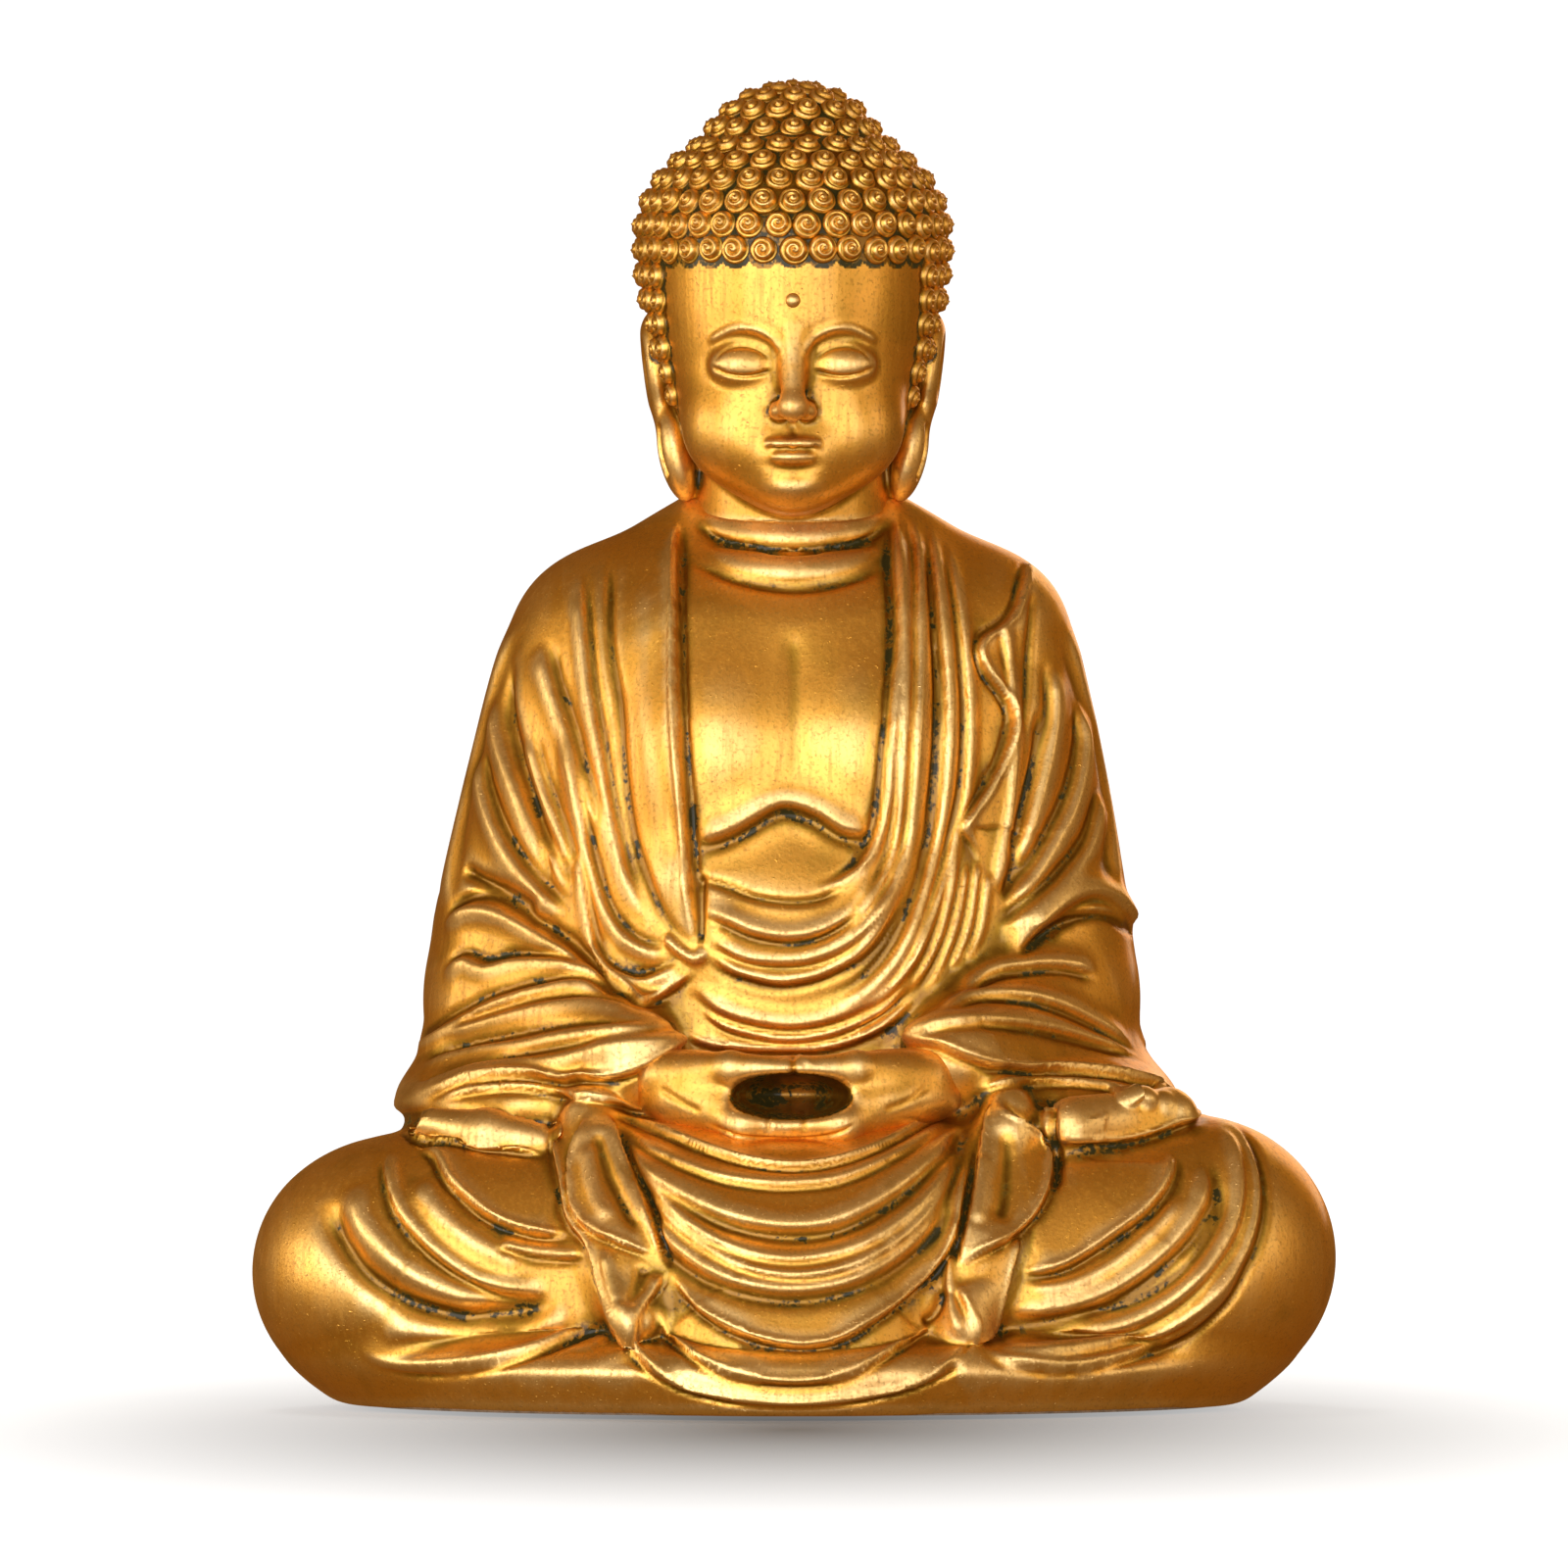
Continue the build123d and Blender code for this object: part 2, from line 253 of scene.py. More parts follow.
def fold_height(points, out, line, kind, height, width, ends=(0.16, 0.16)):
    """How far one fold lifts each point, with ends that run out over a share of its length."""
    lift = np.zeros(len(points))
    margin = REACH[kind] * width
    near = np.all((points > line.min(0) - margin) & (points < line.max(0) + margin), axis=1)
    where = np.nonzero(near)[0]
    if not len(where):
        return lift
    spots, outward = points[where], out[where]
    lengths = np.linalg.norm(np.diff(line, axis=0), axis=1)
    before = np.concatenate([[0], np.cumsum(lengths)])
    best = np.full(len(where), np.inf)
    side = np.zeros(len(where))
    travel = np.zeros(len(where))
    for i, (a, b) in enumerate(zip(line, line[1:])):
        along = (b - a) / max(lengths[i], 1e-6)
        share = np.clip((spots - a) @ along, 0, lengths[i])
        gap = spots - (a + share[:, None] * along)
        distance = np.linalg.norm(gap, axis=1)
        right = np.einsum("ij,ij->i", gap, np.cross(along, outward))
        closer = distance < best - 1e-9
        best = np.where(closer, distance, best)
        side = np.where(closer, np.where(right < 0, -distance, distance), side)
        travel = np.where(closer, (before[i] + share) / before[-1], travel)
    fade = np.clip(travel / ends[0], 0, 1) * np.clip((1 - travel) / ends[1], 0, 1)
    fade = fade * fade * (3 - 2 * fade)
    beyond = np.exp(-np.maximum(best - np.abs(side), 0) / width)
    lift[where] = height * profile(kind, side, width) * fade * beyond
    return lift


def fold_all(shape, points, out, folds, view):
    """The sum of a list of folds, each (kind, height, width, flat points)."""
    total = np.zeros(len(points))
    for kind, height, width, flat, *ends in folds:
        flat_line = curve_through(np.array(flat, float))
        line = onto_surface(shape, flat_line, view)
        total += fold_height(points, out, line, kind, height, width, *ends)
    return total


# ---- the robe, torso and legs, before any folds -------------------------------------------
TRUNK_Y = 20.0
TRUNK = smoothed([
    # height, left half width, right half width, front, back
    (56, 84, 82, -26, 74),
    (72, 82, 78, -26, 74),
    (85, 81.5, 75.5, -26, 73),
    (100, 80.5, 75, -25, 72),
    (115, 78.5, 73.5, -24, 71),
    (130, 74.5, 70, -22.5, 70),
    (150, 69.5, 66, -21, 67),
    (160, 67.3, 64, -19, 65),
    (170, 64.5, 61.5, -16.5, 62.5),
    (178, 61, 58.5, -13.5, 59.5),
    (186, 55, 54, -7.5, 55.5),
    (190.5, 49.5, 49.5, -2, 53),
    (194, 43.5, 43.5, 2, 51),
    (198, 35.5, 36, 6, 48),
    (202, 29, 29.5, 9, 46),
    (205.5, 26, 26, 11, 44),
    (210, 12, 12, 12, 36),
])
TRUNK_LOW, TRUNK_HIGH = 45.0, 207.5        # cuts that lie inside the legs and the neck
NECK_JOINT_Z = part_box("torso_casting")[1][2] / MM
NECK_Y = 21.0
NECK_RINGS = [
    # height in front, rise to the back, radius of the ring, thickness
    (195.8, 10, 20.6, 3.7),
    (188.0, 10, 25.0, 4.3),
]
APRON_Y = -10.0
APRON = smoothed([
    (-4, 34, 32, -80, 10),
    (6, 36, 35, -81.5, 10),
    (20, 37, 38, -80.5, 10),
    (35, 37, 38, -77, 10),
    (46, 40, 40, -72.5, 10),
    (54, 42, 42, -67, 10),
    (60, 43, 44, -60, 10),
    (65, 43, 44, -46, 10),
    (74, 38, 40, -18, 10),
], window=5)
APRON_TOP = 71.0


def neck(p):
    return bar(p, (0, NECK_Y + 2, 172), (0, NECK_Y - 1, 226), 24, 22)


def neck_rings(p):
    """Two soft rings of flesh, which rise towards the back."""
    around = np.hypot(p[:, 0], p[:, 1] - NECK_Y)
    rings = []
    for front_z, rise, ring_r, thick in NECK_RINGS:
        height = front_z + rise * (p[:, 1] - NECK_Y + ring_r) / (2 * ring_r)
        rings.append(np.hypot(around - ring_r, p[:, 2] - height) - thick)
    return np.minimum(*rings)


def trunk(p):
    """Chest, back, shoulders, both sleeved arms, and the neck up to the head's joint."""
    d = column(p, TRUNK, TRUNK_Y, 2.25)
    d = join(d, egg(p, (0, -2, 107), (42, 28, 27)), 10)                 # belly
    for side, elbow_x, sleeve_x in ((-1, 61, 57), (1, 56.5, 54)):
        shoulder = (side * 43, 18, 173)
        elbow = (side * elbow_x, 14, 95)
        d = join(d, bar(p, shoulder, elbow, 17.8, 19), 9)
        d = join(d, bar(p, (side * elbow_x, 6, 88), (side * 36, -33, 79), 18, 11), 9)
        d = join(d, egg(p, (side * sleeve_x, 0, 69), (31, 34, 10.5)), 12)  # sleeve on the thigh
        d = join(d, egg(p, (side * 15, -8, 146), (17, 15, 20)), 12)       # breast
    d = np.maximum(d, TRUNK_LOW - p[:, 2])
    d = np.maximum(d, p[:, 2] - TRUNK_HIGH)
    d = join(d, np.maximum(neck(p), p[:, 2] - NECK_JOINT_Z), 2)
    return join(d, neck_rings(p), 1.2)


FOOT_Y = -20.0
FOOT = smoothed([
    # close to the outline of the leg casting's bottom, and leaning in to the floor
    (-4, 94, 94, -75, 60),
    (0, 95.5, 95.5, -76.3, 61.5),
    (6, 99.5, 99.5, -79.4, 64.5),
    (11, 102, 102, -81.5, 67),
    (15, 98, 98, -77, 66),
    (20, 88, 88, -62, 60),
], window=3)
TOES = 4


def foot_ring(p):
    """The smooth band that the figure stands on."""
    return np.maximum(column(p, FOOT, FOOT_Y, 2.0), p[:, 2] - 17)


def legs(p):
    """Thighs, knees and crossed shins under the skirt, the seat, and the apron in front."""
    d = egg(p, (0, 38, 30), (88, 44, 38))
    d = join(d, egg(p, (0, -14, 38), (84, 52, 31)), 10)
    d = join(d, foot_ring(p), 7)
    for side, knee, knee_r in ((-1, (-92.5, -20, 30.8), 29), (1, (90.5, -20, 34), 31.5)):
        d = join(d, bar(p, (side * 46, 36, 34), knee, 33, knee_r), 12)
        d = join(d, bar(p, (side * 84, -30, 27), (side * 14, -42, 27), 25, 26), 8)
        d = join(d, egg(p, (side * 66, -24, 42), (37, 27, 21)), 11)           # lap under the foot
    apron = np.maximum(column(p, APRON, APRON_Y, 3.0), p[:, 2] - APRON_TOP)
    d = join(d, apron, 8)
    d = join(d, bar(p, (-45, -40, 67), (-36, -69, 22), 5, 4), 9)        # left cuff
    d = join(d, bar(p, (48, -40, 67), (38, -69, 20), 5.5, 4), 9)            # right cuff
    d = join(d, bar(p, (-83, -31, 65), (-68, -38.5, 63), 2.6, 3.8), 3)    # foot on the left thigh
    d = join(d, bar(p, (-68, -38.5, 63), (-56, -41, 61), 3.8, 3), 3)
    d = join(d, bar(p, (62, -41, 64.5), (84, -31, 67), 6, 5), 5)          # foot on the right thigh
    for i in range(TOES):
        d = join(d, ball(p, (75 + 3.8 * i, -39 + 2.2 * i, 71 - 1.2 * i), 2.7), 1.4)
    return cut(d, p[:, 2] - FLOOR_Z, 2)


def body(p):
    return join(trunk(p), legs(p), 7)


# Each fold is (kind, height, width, points seen in the view), and a pleat or hem falls away
# to the right of its line. Heights and widths are in millimetres.
CHEST_FOLDS = [
    # edges of the open robe, the left one from below and the right one from above
    ("hem", 3.2, 1.3, [(-21, 104), (-22.5, 112), (-23, 124), (-24, 138), (-25, 152), (-26, 178),
        (-26, 200)]),
    ("hem", 2.6, 1.3, [(23, 201), (22.5, 190), (23, 175), (22, 160), (21, 148), (19.5, 134),
        (16, 124), (11, 119.5), (4, 117)]),
    # creases under the rings of the neck
    ("groove", 0.8, 0.7, [(-23, 198.6), (-14, 194.2), (0, 191.9), (14, 194.2), (23, 198.6)]),
    ("groove", 0.6, 1.0, [(-24, 190.5), (-13, 185.8), (0, 183.6), (12, 185.4), (21, 189)]),
    # chest and belly
    ("pleat", 1.8, 1.8, [(-23, 127.5), (-14, 130.7), (-5, 135.8), (0, 136.4), (6, 134.4), (12, 130.7),
        (19, 130)]),
    ("groove", 1.0, 1.0, [(-22, 119.5), (-15, 117.5), (-8, 115), (0, 114), (7, 115), (12, 118)]),
    ("groove", 0.5, 2.2, [(0, 176), (0.4, 160), (0, 142)]),
    # small swags between the edges
    ("pleat", 1.5, 1.2, [(-21, 113), (-14, 110), (-8, 107.5), (0, 106.5), (8, 108.5), (15, 113),
        (20, 121)]),
    ("pleat", 1.3, 1.1, [(-19, 106), (-10, 101.8), (0, 101), (8, 103), (15, 108), (22, 117)]),
    ("pleat", 1.5, 1.2, [(-19, 103), (-14, 99.5), (-6, 97), (0, 96.8), (8, 99), (17, 105), (24, 118)]),
    ("pleat", 1.6, 1.3, [(-23, 96), (-17, 91), (-10, 88.3), (0, 87), (10, 89), (20, 94.5), (27, 103),
        (31, 114)]),
    ("pleat", 1.2, 1.0, [(-22, 92), (-16, 87), (-8, 84.5), (0, 83.6), (10, 85.4), (20, 90), (28, 98),
        (33, 109)]),
    ("hem", 1.4, 1.0, [(-26, 85), (-18, 81.5), (0, 80.6), (10, 81.6), (20, 85.6), (28, 92)]),
]
RIGHT_LAPEL_FOLDS = [
    ("pleat", 1.4, 1.1, [(24, 197), (24.8, 175), (24.3, 150), (23, 130), (20, 119), (15, 111),
        (8, 105), (0, 102.6)]),
    ("pleat", 1.5, 1.2, [(26.5, 202), (28.3, 190), (28.2, 170), (27.3, 152), (26, 130), (23, 119),
        (18, 110), (11, 103.5), (4, 100.6)]),
    ("pleat", 1.7, 1.3, [(31, 200), (33, 180), (34.6, 158), (33.5, 138), (31.5, 126), (28, 113),
        (22, 101), (14, 93.5), (5, 90.4)]),
    ("pleat", 1.5, 1.1, [(34.5, 196), (37.5, 178), (39.3, 158), (38.6, 140), (36, 128), (33, 117),
        (28.5, 105), (22.5, 95.5), (15, 89.6), (5, 86.4)]),
    ("groove", 1.0, 0.9, [(30, 192), (31, 176), (31.8, 160), (31, 142), (29, 127)]),
    ("pleat", 1.1, 0.9, [(36.5, 126), (34, 112), (30, 100), (24, 91), (17, 86), (10, 83)]),
    ("pleat", 1.1, 0.8, [(39, 124), (36.4, 110), (32.4, 99), (29, 93)]),
    ("pleat", 1.1, 0.8, [(41.4, 124), (39, 108.5), (35, 98)]),
    ("pleat", 1.0, 0.8, [(43.6, 121), (41.8, 108), (38.4, 100)]),
]
RIGHT_ARM_FOLDS = [
    # flap of cloth that hangs from the right shoulder
    ("hem", 2.2, 1.1, [(53, 191), (50, 180), (46.5, 175.5), (42.5, 173), (41.2, 169.5), (43, 165),
        (46.5, 160.5), (48.8, 155), (47, 147), (43.4, 139.5), (40, 134.5), (38, 130.5), (40, 126.5),
        (43, 121)]),
    ("pleat", 1.0, 0.9, [(46.5, 176), (48, 168), (48.6, 160), (49, 155)]),
    ("groove", 1.0, 1.2, [(53.5, 184), (52.8, 172), (52, 160), (50.5, 150)]),
    ("ridge", 1.2, 1.5, [(50.4, 160), (49.4, 148), (48.6, 136), (47.2, 125), (45.4, 115)]),
    ("groove", 1.2, 1.3, [(55, 158), (54, 146), (51.6, 134), (49.6, 122), (47, 112)]),
    ("pleat", 1.6, 1.7, [(58.5, 168), (58.6, 155), (56.4, 143), (53, 131), (49.6, 121)]),
    ("pleat", 2.0, 2.0, [(64.5, 160), (65.5, 148), (63, 136), (58.5, 127), (53.6, 119), (47, 111)]),
    ("pleat", 1.7, 1.8, [(70, 138), (66.5, 126), (60, 118), (53, 111.6), (46, 106)]),
    ("pleat", 2.4, 1.8, [(50, 104.5), (55, 109.5), (61, 114), (66.5, 116), (71, 115), (75, 111),
        (78, 106)]),
    ("pleat", 1.6, 1.3, [(48, 101), (53, 106), (59, 110), (65, 112), (71, 111.6), (76, 108)]),
    ("pleat", 1.5, 1.4, [(38, 93), (44, 98), (52, 99.6), (60, 99.8), (69, 98)]),
    ("pleat", 1.6, 1.5, [(33, 89), (40, 92.5), (50, 93), (59, 91), (68, 86.5), (77, 80)]),
    ("pleat", 1.4, 1.5, [(26, 84), (35, 87), (45, 87.5), (56, 86), (66, 83), (78, 78)]),
    ("hem", 2.2, 1.2, [(22, 81.5), (28, 82.6), (33, 82), (39, 79.5), (47, 77), (60, 75.4), (75, 73.6),
        (84, 71)], (0.16, 0.30)),
    ("hem", 1.3, 1.0, [(39, 71.4), (48, 73.3), (60, 73.2), (73, 71.6), (82, 69)]),
]
LEFT_LAPEL_FOLDS = [
    # left edge of the broad smooth band, and the tuck at its foot
    ("groove", 1.3, 1.3, [(-41, 192), (-41, 172), (-38.8, 158), (-37.6, 142), (-35.6, 129),
        (-32, 118), (-28.4, 110), (-24, 105), (-21.4, 103.4)]),
    ("ridge", 0.8, 3.2, [(-33, 188), (-33, 165), (-31, 145), (-29, 126), (-25.6, 112)]),
    ("groove", 1.6, 0.9, [(-20.4, 121), (-20.6, 112), (-20.8, 104)]),
    ("ridge", 1.6, 1.1, [(-29, 106.5), (-25, 103), (-21.5, 101.4), (-19.8, 104)]),
    ("pleat", 1.6, 1.3, [(-33, 109), (-37.6, 120), (-41, 133), (-43.4, 147), (-46.4, 165),
        (-48.4, 188)]),
    ("pleat", 1.5, 1.2, [(-26, 103.5), (-32, 103), (-38, 106.4), (-42, 112), (-45.4, 122), (-48, 135),
        (-50.6, 152)]),
    ("pleat", 1.4, 1.1, [(-24, 101), (-28, 98.4), (-35, 96), (-41, 98.4), (-44.4, 103), (-46.4, 112),
        (-48.6, 126)]),
    ("hem", 1.6, 1.0, [(-46, 105), (-42, 97.4), (-37, 93.2), (-33.6, 91), (-28, 93.6), (-22, 98.6)]),
]
LEFT_ARM_FOLDS = [
    ("pleat", 1.6, 1.8, [(-44, 128), (-47, 140), (-50.4, 150), (-54, 160), (-57.6, 172)]),
    ("groove", 2.0, 2.0, [(-52.6, 113), (-56, 126), (-60, 141), (-63, 151), (-64.4, 160), (-63, 169)]),
    ("pleat", 1.8, 1.8, [(-50, 114), (-54.4, 123), (-60, 133.6), (-66, 149), (-67.6, 160)]),
    ("pleat", 1.3, 1.5, [(-50, 120), (-52.4, 129), (-57, 140), (-60, 151)]),
    ("pleat", 1.9, 1.8, [(-51, 110), (-58, 116.6), (-65, 126), (-69.4, 137), (-70.4, 147)]),
    ("groove", 1.8, 1.8, [(-56, 112), (-63, 115.6), (-70, 118.4), (-75, 121)]),
    ("pleat", 2.6, 1.9, [(-40, 93.4), (-46, 98), (-52, 103), (-60, 108), (-67, 111.4), (-73, 111.4),
        (-79, 107.6)]),
    ("pleat", 1.8, 1.5, [(-46, 96.8), (-54, 99.4), (-62, 100), (-69, 98.6), (-74, 100), (-79, 97)]),
    ("pleat", 1.6, 1.5, [(-39, 91.6), (-48, 94.6), (-57, 94), (-67, 90.8), (-76, 86), (-84, 80.6)]),
    ("pleat", 1.4, 1.4, [(-33, 89), (-42, 91), (-51, 91), (-60, 89.2), (-70, 86), (-78, 83)]),
    ("pleat", 1.4, 1.4, [(-30, 86), (-40, 85.6), (-50, 84.4), (-61, 82), (-74, 79.4), (-84, 76)]),
    ("pleat", 1.2, 1.3, [(-25, 83.6), (-39, 82.4), (-50, 79.6), (-62, 77), (-75, 74.6), (-86, 71.4)]),
]
LEFT_HEM_FOLDS = [
    ("hem", 2.2, 1.2, [(-86, 69), (-77, 72), (-68, 73.4), (-58, 74), (-48, 74), (-40, 75.4),
        (-33, 77.8), (-25, 82.6)], (0.30, 0.16)),
    ("hem", 1.4, 1.0, [(-80, 69.6), (-72, 71.2), (-60, 72), (-48, 70.4), (-40, 69.4), (-33, 66.6),
        (-27, 64)]),
]
SWAG_FOLDS = [
    ("hem", 1.7, 1.0, [(-43, 68), (-36, 65), (-29, 62.6), (-20, 59.4), (-10, 56.6), (0, 55.4),
        (9, 56.4), (17, 58.6), (25, 62), (32, 65.8), (39, 68.6)]),
    ("pleat", 1.1, 1.2, [(-39, 66), (-33, 60.4), (-26, 57), (-17, 54), (-8, 52.6), (0, 52.3),
        (10, 53.4), (20, 57), (28, 61), (35, 66)]),
    ("pleat", 1.9, 2.0, [(-38, 62), (-32, 55), (-25, 50.4), (-16, 46), (-8, 43.8), (0, 43), (8, 43.8),
        (16, 47), (24, 52), (32, 59), (38, 66)]),
    ("pleat", 1.3, 1.4, [(-38, 60), (-32, 52.6), (-26, 46.8), (-18, 40.8), (-9, 37), (0, 35.8),
        (9, 37), (17, 40), (25, 45.6), (32, 53), (38, 62)]),
    ("pleat", 1.2, 1.3, [(-37, 58), (-31, 49), (-25, 43), (-17, 37.4), (-9, 33.8), (0, 32.4),
        (9, 33.4), (17, 36.6), (25, 42), (32, 49.6), (39, 61)]),
    ("pleat", 1.8, 2.1, [(-33, 48), (-27, 40), (-20, 34.6), (-12, 31), (-3, 29.4), (6, 29.8),
        (14, 32), (22, 36.6), (29, 43), (35, 52)]),
    ("hem", 2.4, 1.1, [(-28.4, 33.4), (-24, 28), (-18, 22.8), (-10, 18.8), (0, 16.6), (9, 17.6),
        (18, 22.4), (26, 28.6), (32, 34), (36, 40), (38, 50), (40.6, 60)]),
    ("hem", 1.8, 1.0, [(-31, 27), (-29, 20), (-23, 14.2), (-15, 10.8), (-6, 9.2), (4, 9), (13, 10.6),
        (22, 14.6), (29, 19.6), (34, 23)]),
    ("hem", 2.2, 1.1, [(-40, 24), (-37, 17.4), (-32.6, 12.2), (-25, 7.8), (-15, 5.2), (-4, 4),
        (7, 4.2), (18, 5.8), (28, 8.4), (36, 12.6), (39.6, 18), (39.4, 24)]),
]
LEFT_CUFF_FOLDS = [
    ("hem", 2.2, 1.0, [(-54, 68.5), (-53.4, 60), (-51.8, 52), (-50, 44), (-45.4, 38), (-42.6, 30),
        (-39, 21), (-35.6, 14.6)]),
    ("hem", 1.8, 0.9, [(-45.6, 68), (-47.6, 61), (-49.2, 53), (-48.4, 46), (-44.8, 41.6), (-40, 39),
        (-35, 37), (-30.4, 36)]),
    ("hem", 1.8, 0.9, [(-28, 33), (-29.6, 39), (-32, 47), (-35.6, 55), (-39, 61.4), (-41.4, 67.5)]),
    ("groove", 1.3, 1.4, [(-44, 64), (-42, 56), (-38.4, 48), (-34, 40)]),
    ("ridge", 0.9, 1.6, [(-45, 60), (-44, 50), (-40, 43)]),
    ("groove", 1.4, 0.9, [(-39, 64), (-36, 56.4), (-32, 48.4), (-29.4, 41), (-27, 33)]),
    ("ridge", 1.4, 1.3, [(-41.6, 38), (-39.6, 30), (-36.6, 22), (-34.4, 15)]),
    ("hem", 1.6, 0.9, [(-34, 13), (-35, 19), (-33.8, 24), (-30.4, 28.6), (-28, 32.6)]),
    ("groove", 1.2, 1.6, [(-33, 34), (-35, 28), (-37, 24)]),
]
RIGHT_CUFF_FOLDS = [
    ("hem", 2.2, 1.0, [(37, 33), (41, 36), (47, 39.4), (52.4, 43.4), (56.4, 49), (57.8, 55.4),
        (56, 60.4), (52, 64), (47.6, 67.6), (46, 72.6)]),
    ("hem", 1.5, 0.9, [(45, 71), (42.8, 63), (41, 55), (39.4, 46), (37.6, 38), (36, 30.6)]),
    ("groove", 1.3, 2.2, [(47, 64), (47.6, 56), (47, 48), (45, 42)]),
    ("ridge", 1.0, 1.4, [(42.6, 58), (42.2, 50), (40.6, 42)]),
    ("groove", 1.7, 1.1, [(58.4, 72), (58, 64), (59.4, 56), (58.6, 49)]),
    ("hem", 1.8, 1.0, [(41, 15.6), (44, 21.4), (47, 29), (49.6, 37), (50.6, 41)]),
    ("hem", 1.5, 0.9, [(36, 30), (38.2, 25), (39.8, 19.6), (38.6, 15), (34, 11)]),
    ("ridge", 1.3, 1.2, [(35.4, 38), (35, 31), (35.6, 24), (37.6, 18)]),
    ("groove", 1.6, 1.2, [(34, 29), (31.6, 23.6), (28.6, 21)]),
]
LEFT_KNEE_FOLDS = [
    ("hem", 1.6, 1.1, [(-87, 62.4), (-84, 60.6), (-78, 59.6), (-68, 59), (-60, 58), (-55, 57)]),
    ("hem", 2.2, 1.2, [(-84, 59), (-80, 57), (-77, 52), (-73, 48), (-68, 44.2), (-62, 41.6),
        (-55, 40.2), (-49.4, 40.6)]),
    ("pleat", 1.2, 1.0, [(-66, 38.6), (-58, 36.6), (-50, 36), (-46, 36.6)]),
    ("pleat", 1.5, 1.2, [(-90, 58.6), (-90.5, 54), (-87.6, 45.4), (-81, 37.8), (-73, 32),
        (-64.4, 28.8), (-54, 28)]),
    ("ridge", 1.5, 3.2, [(-84, 53), (-80.6, 47), (-75, 41.4), (-67, 36.6), (-58, 34)]),
    ("ridge", 1.8, 3.2, [(-97.6, 52), (-96.4, 44), (-91, 36.6), (-84, 31), (-75, 26.8), (-66, 25.4)]),
    ("groove", 2.3, 2.9, [(-103.4, 49), (-103.4, 44.6), (-100, 37.4), (-94.4, 31), (-87, 26.4),
        (-79, 23.6), (-70, 22.4), (-60, 23.4), (-50, 26)]),
    ("ridge", 1.2, 3.0, [(-94, 19), (-83, 19.2), (-70, 19.4), (-58, 20.6), (-47, 24)]),
    ("hem", 2.0, 1.6, [(-98, 14.6), (-92, 11.2), (-82, 10.4), (-72, 11.2), (-62, 13.2), (-52, 16.4),
        (-42, 20.4)], (0.30, 0.16)),
]
RIGHT_KNEE_FOLDS = [
    ("hem", 1.6, 1.1, [(56.6, 60.8), (64, 61), (74, 61), (81, 62.4), (88, 65), (94, 66)]),
    ("hem", 2.0, 1.2, [(50, 32), (55, 32), (61, 33.6), (67, 37), (73, 41), (79, 45.4), (83, 50),
        (85.2, 55), (84.4, 59)]),
    ("pleat", 1.9, 1.7, [(47, 24.8), (54, 24), (63, 25.4), (71, 28.4), (78, 32.6), (84.4, 38),
        (89, 43.6), (91.8, 50), (91, 57)]),
    ("ridge", 1.1, 1.6, [(50, 28.6), (60, 29.4), (68, 32.4), (76, 37.6), (83, 44), (87.6, 50)]),
    ("pleat", 1.8, 1.7, [(52, 18.6), (62, 19), (72, 20.6), (80, 23.6), (87, 28), (93, 34), (97.4, 41),
        (99.4, 49), (98.4, 58), (95, 64)]),
    ("pleat", 1.9, 1.7, [(43, 16), (52, 14), (62, 14.2), (72, 16), (82, 19.4), (90, 24), (96.4, 30),
        (101, 37.6), (103.2, 46), (102.8, 54), (100, 61), (95.6, 66)]),
    ("groove", 1.4, 1.5, [(62, 22.4), (72, 23.8), (80, 27), (87, 32), (92, 38), (95.4, 45),
        (95.6, 52)]),
    ("hem", 2.0, 1.4, [(41, 15), (47, 12.6), (54, 11.4), (63, 11.2), (73, 12.8), (82, 15.6), (90, 20),
        (97, 26.6), (101.6, 34)]),
]
FRONT_FOLDS = (
    CHEST_FOLDS + RIGHT_LAPEL_FOLDS + RIGHT_ARM_FOLDS + LEFT_LAPEL_FOLDS + LEFT_ARM_FOLDS + LEFT_HEM_FOLDS
    + SWAG_FOLDS + LEFT_CUFF_FOLDS + RIGHT_CUFF_FOLDS + LEFT_KNEE_FOLDS + RIGHT_KNEE_FOLDS
)
# sides: the first number is Y
LEFT_SIDE_FOLDS = [
    ("pleat", 1.0, 2.9, [(14, 104), (22, 112), (30, 128), (34, 150), (32, 172), (26, 188)]),
    ("pleat", 1.1, 3.1, [(4, 110), (10, 122), (14, 142), (13, 162), (10, 178)]),
    ("pleat", 1.2, 2.9, [(56, 82), (46, 88), (36, 94), (26, 99)]),
    ("pleat", 1.1, 2.9, [(54, 74), (42, 80), (30, 87), (20, 91)]),
    ("pleat", 1.0, 2.6, [(46, 71), (34, 75), (22, 80), (12, 83)]),
    ("groove", 2.6, 3.2, [(62, 76), (56, 90), (51, 110), (48, 132), (46, 156), (40, 178)]),
    ("hem", 1.1, 2.1, [(56, 68), (36, 66.5), (16, 66), (-4, 66.5), (-22, 68)]),
    ("pleat", 1.2, 3.1, [(70, 44), (50, 47), (28, 50), (6, 55)]),
    ("pleat", 1.2, 3.1, [(66, 28), (44, 29), (22, 32), (4, 36.5)]),
    ("pleat", 1.1, 2.9, [(52, 14), (34, 14), (18, 15.6), (4, 18.5)]),
    ("hem", 1.0, 2.1, [(62, 8), (46, 6.8), (30, 6.5), (14, 6.5)]),
]
RIGHT_SIDE_FOLDS = [
    (kind, height, width, [(y + 1.5 * sin(z / 7), z + 1.2 * cos(y / 9)) for y, z in reversed(flat)])
    for kind, height, width, flat in LEFT_SIDE_FOLDS
]
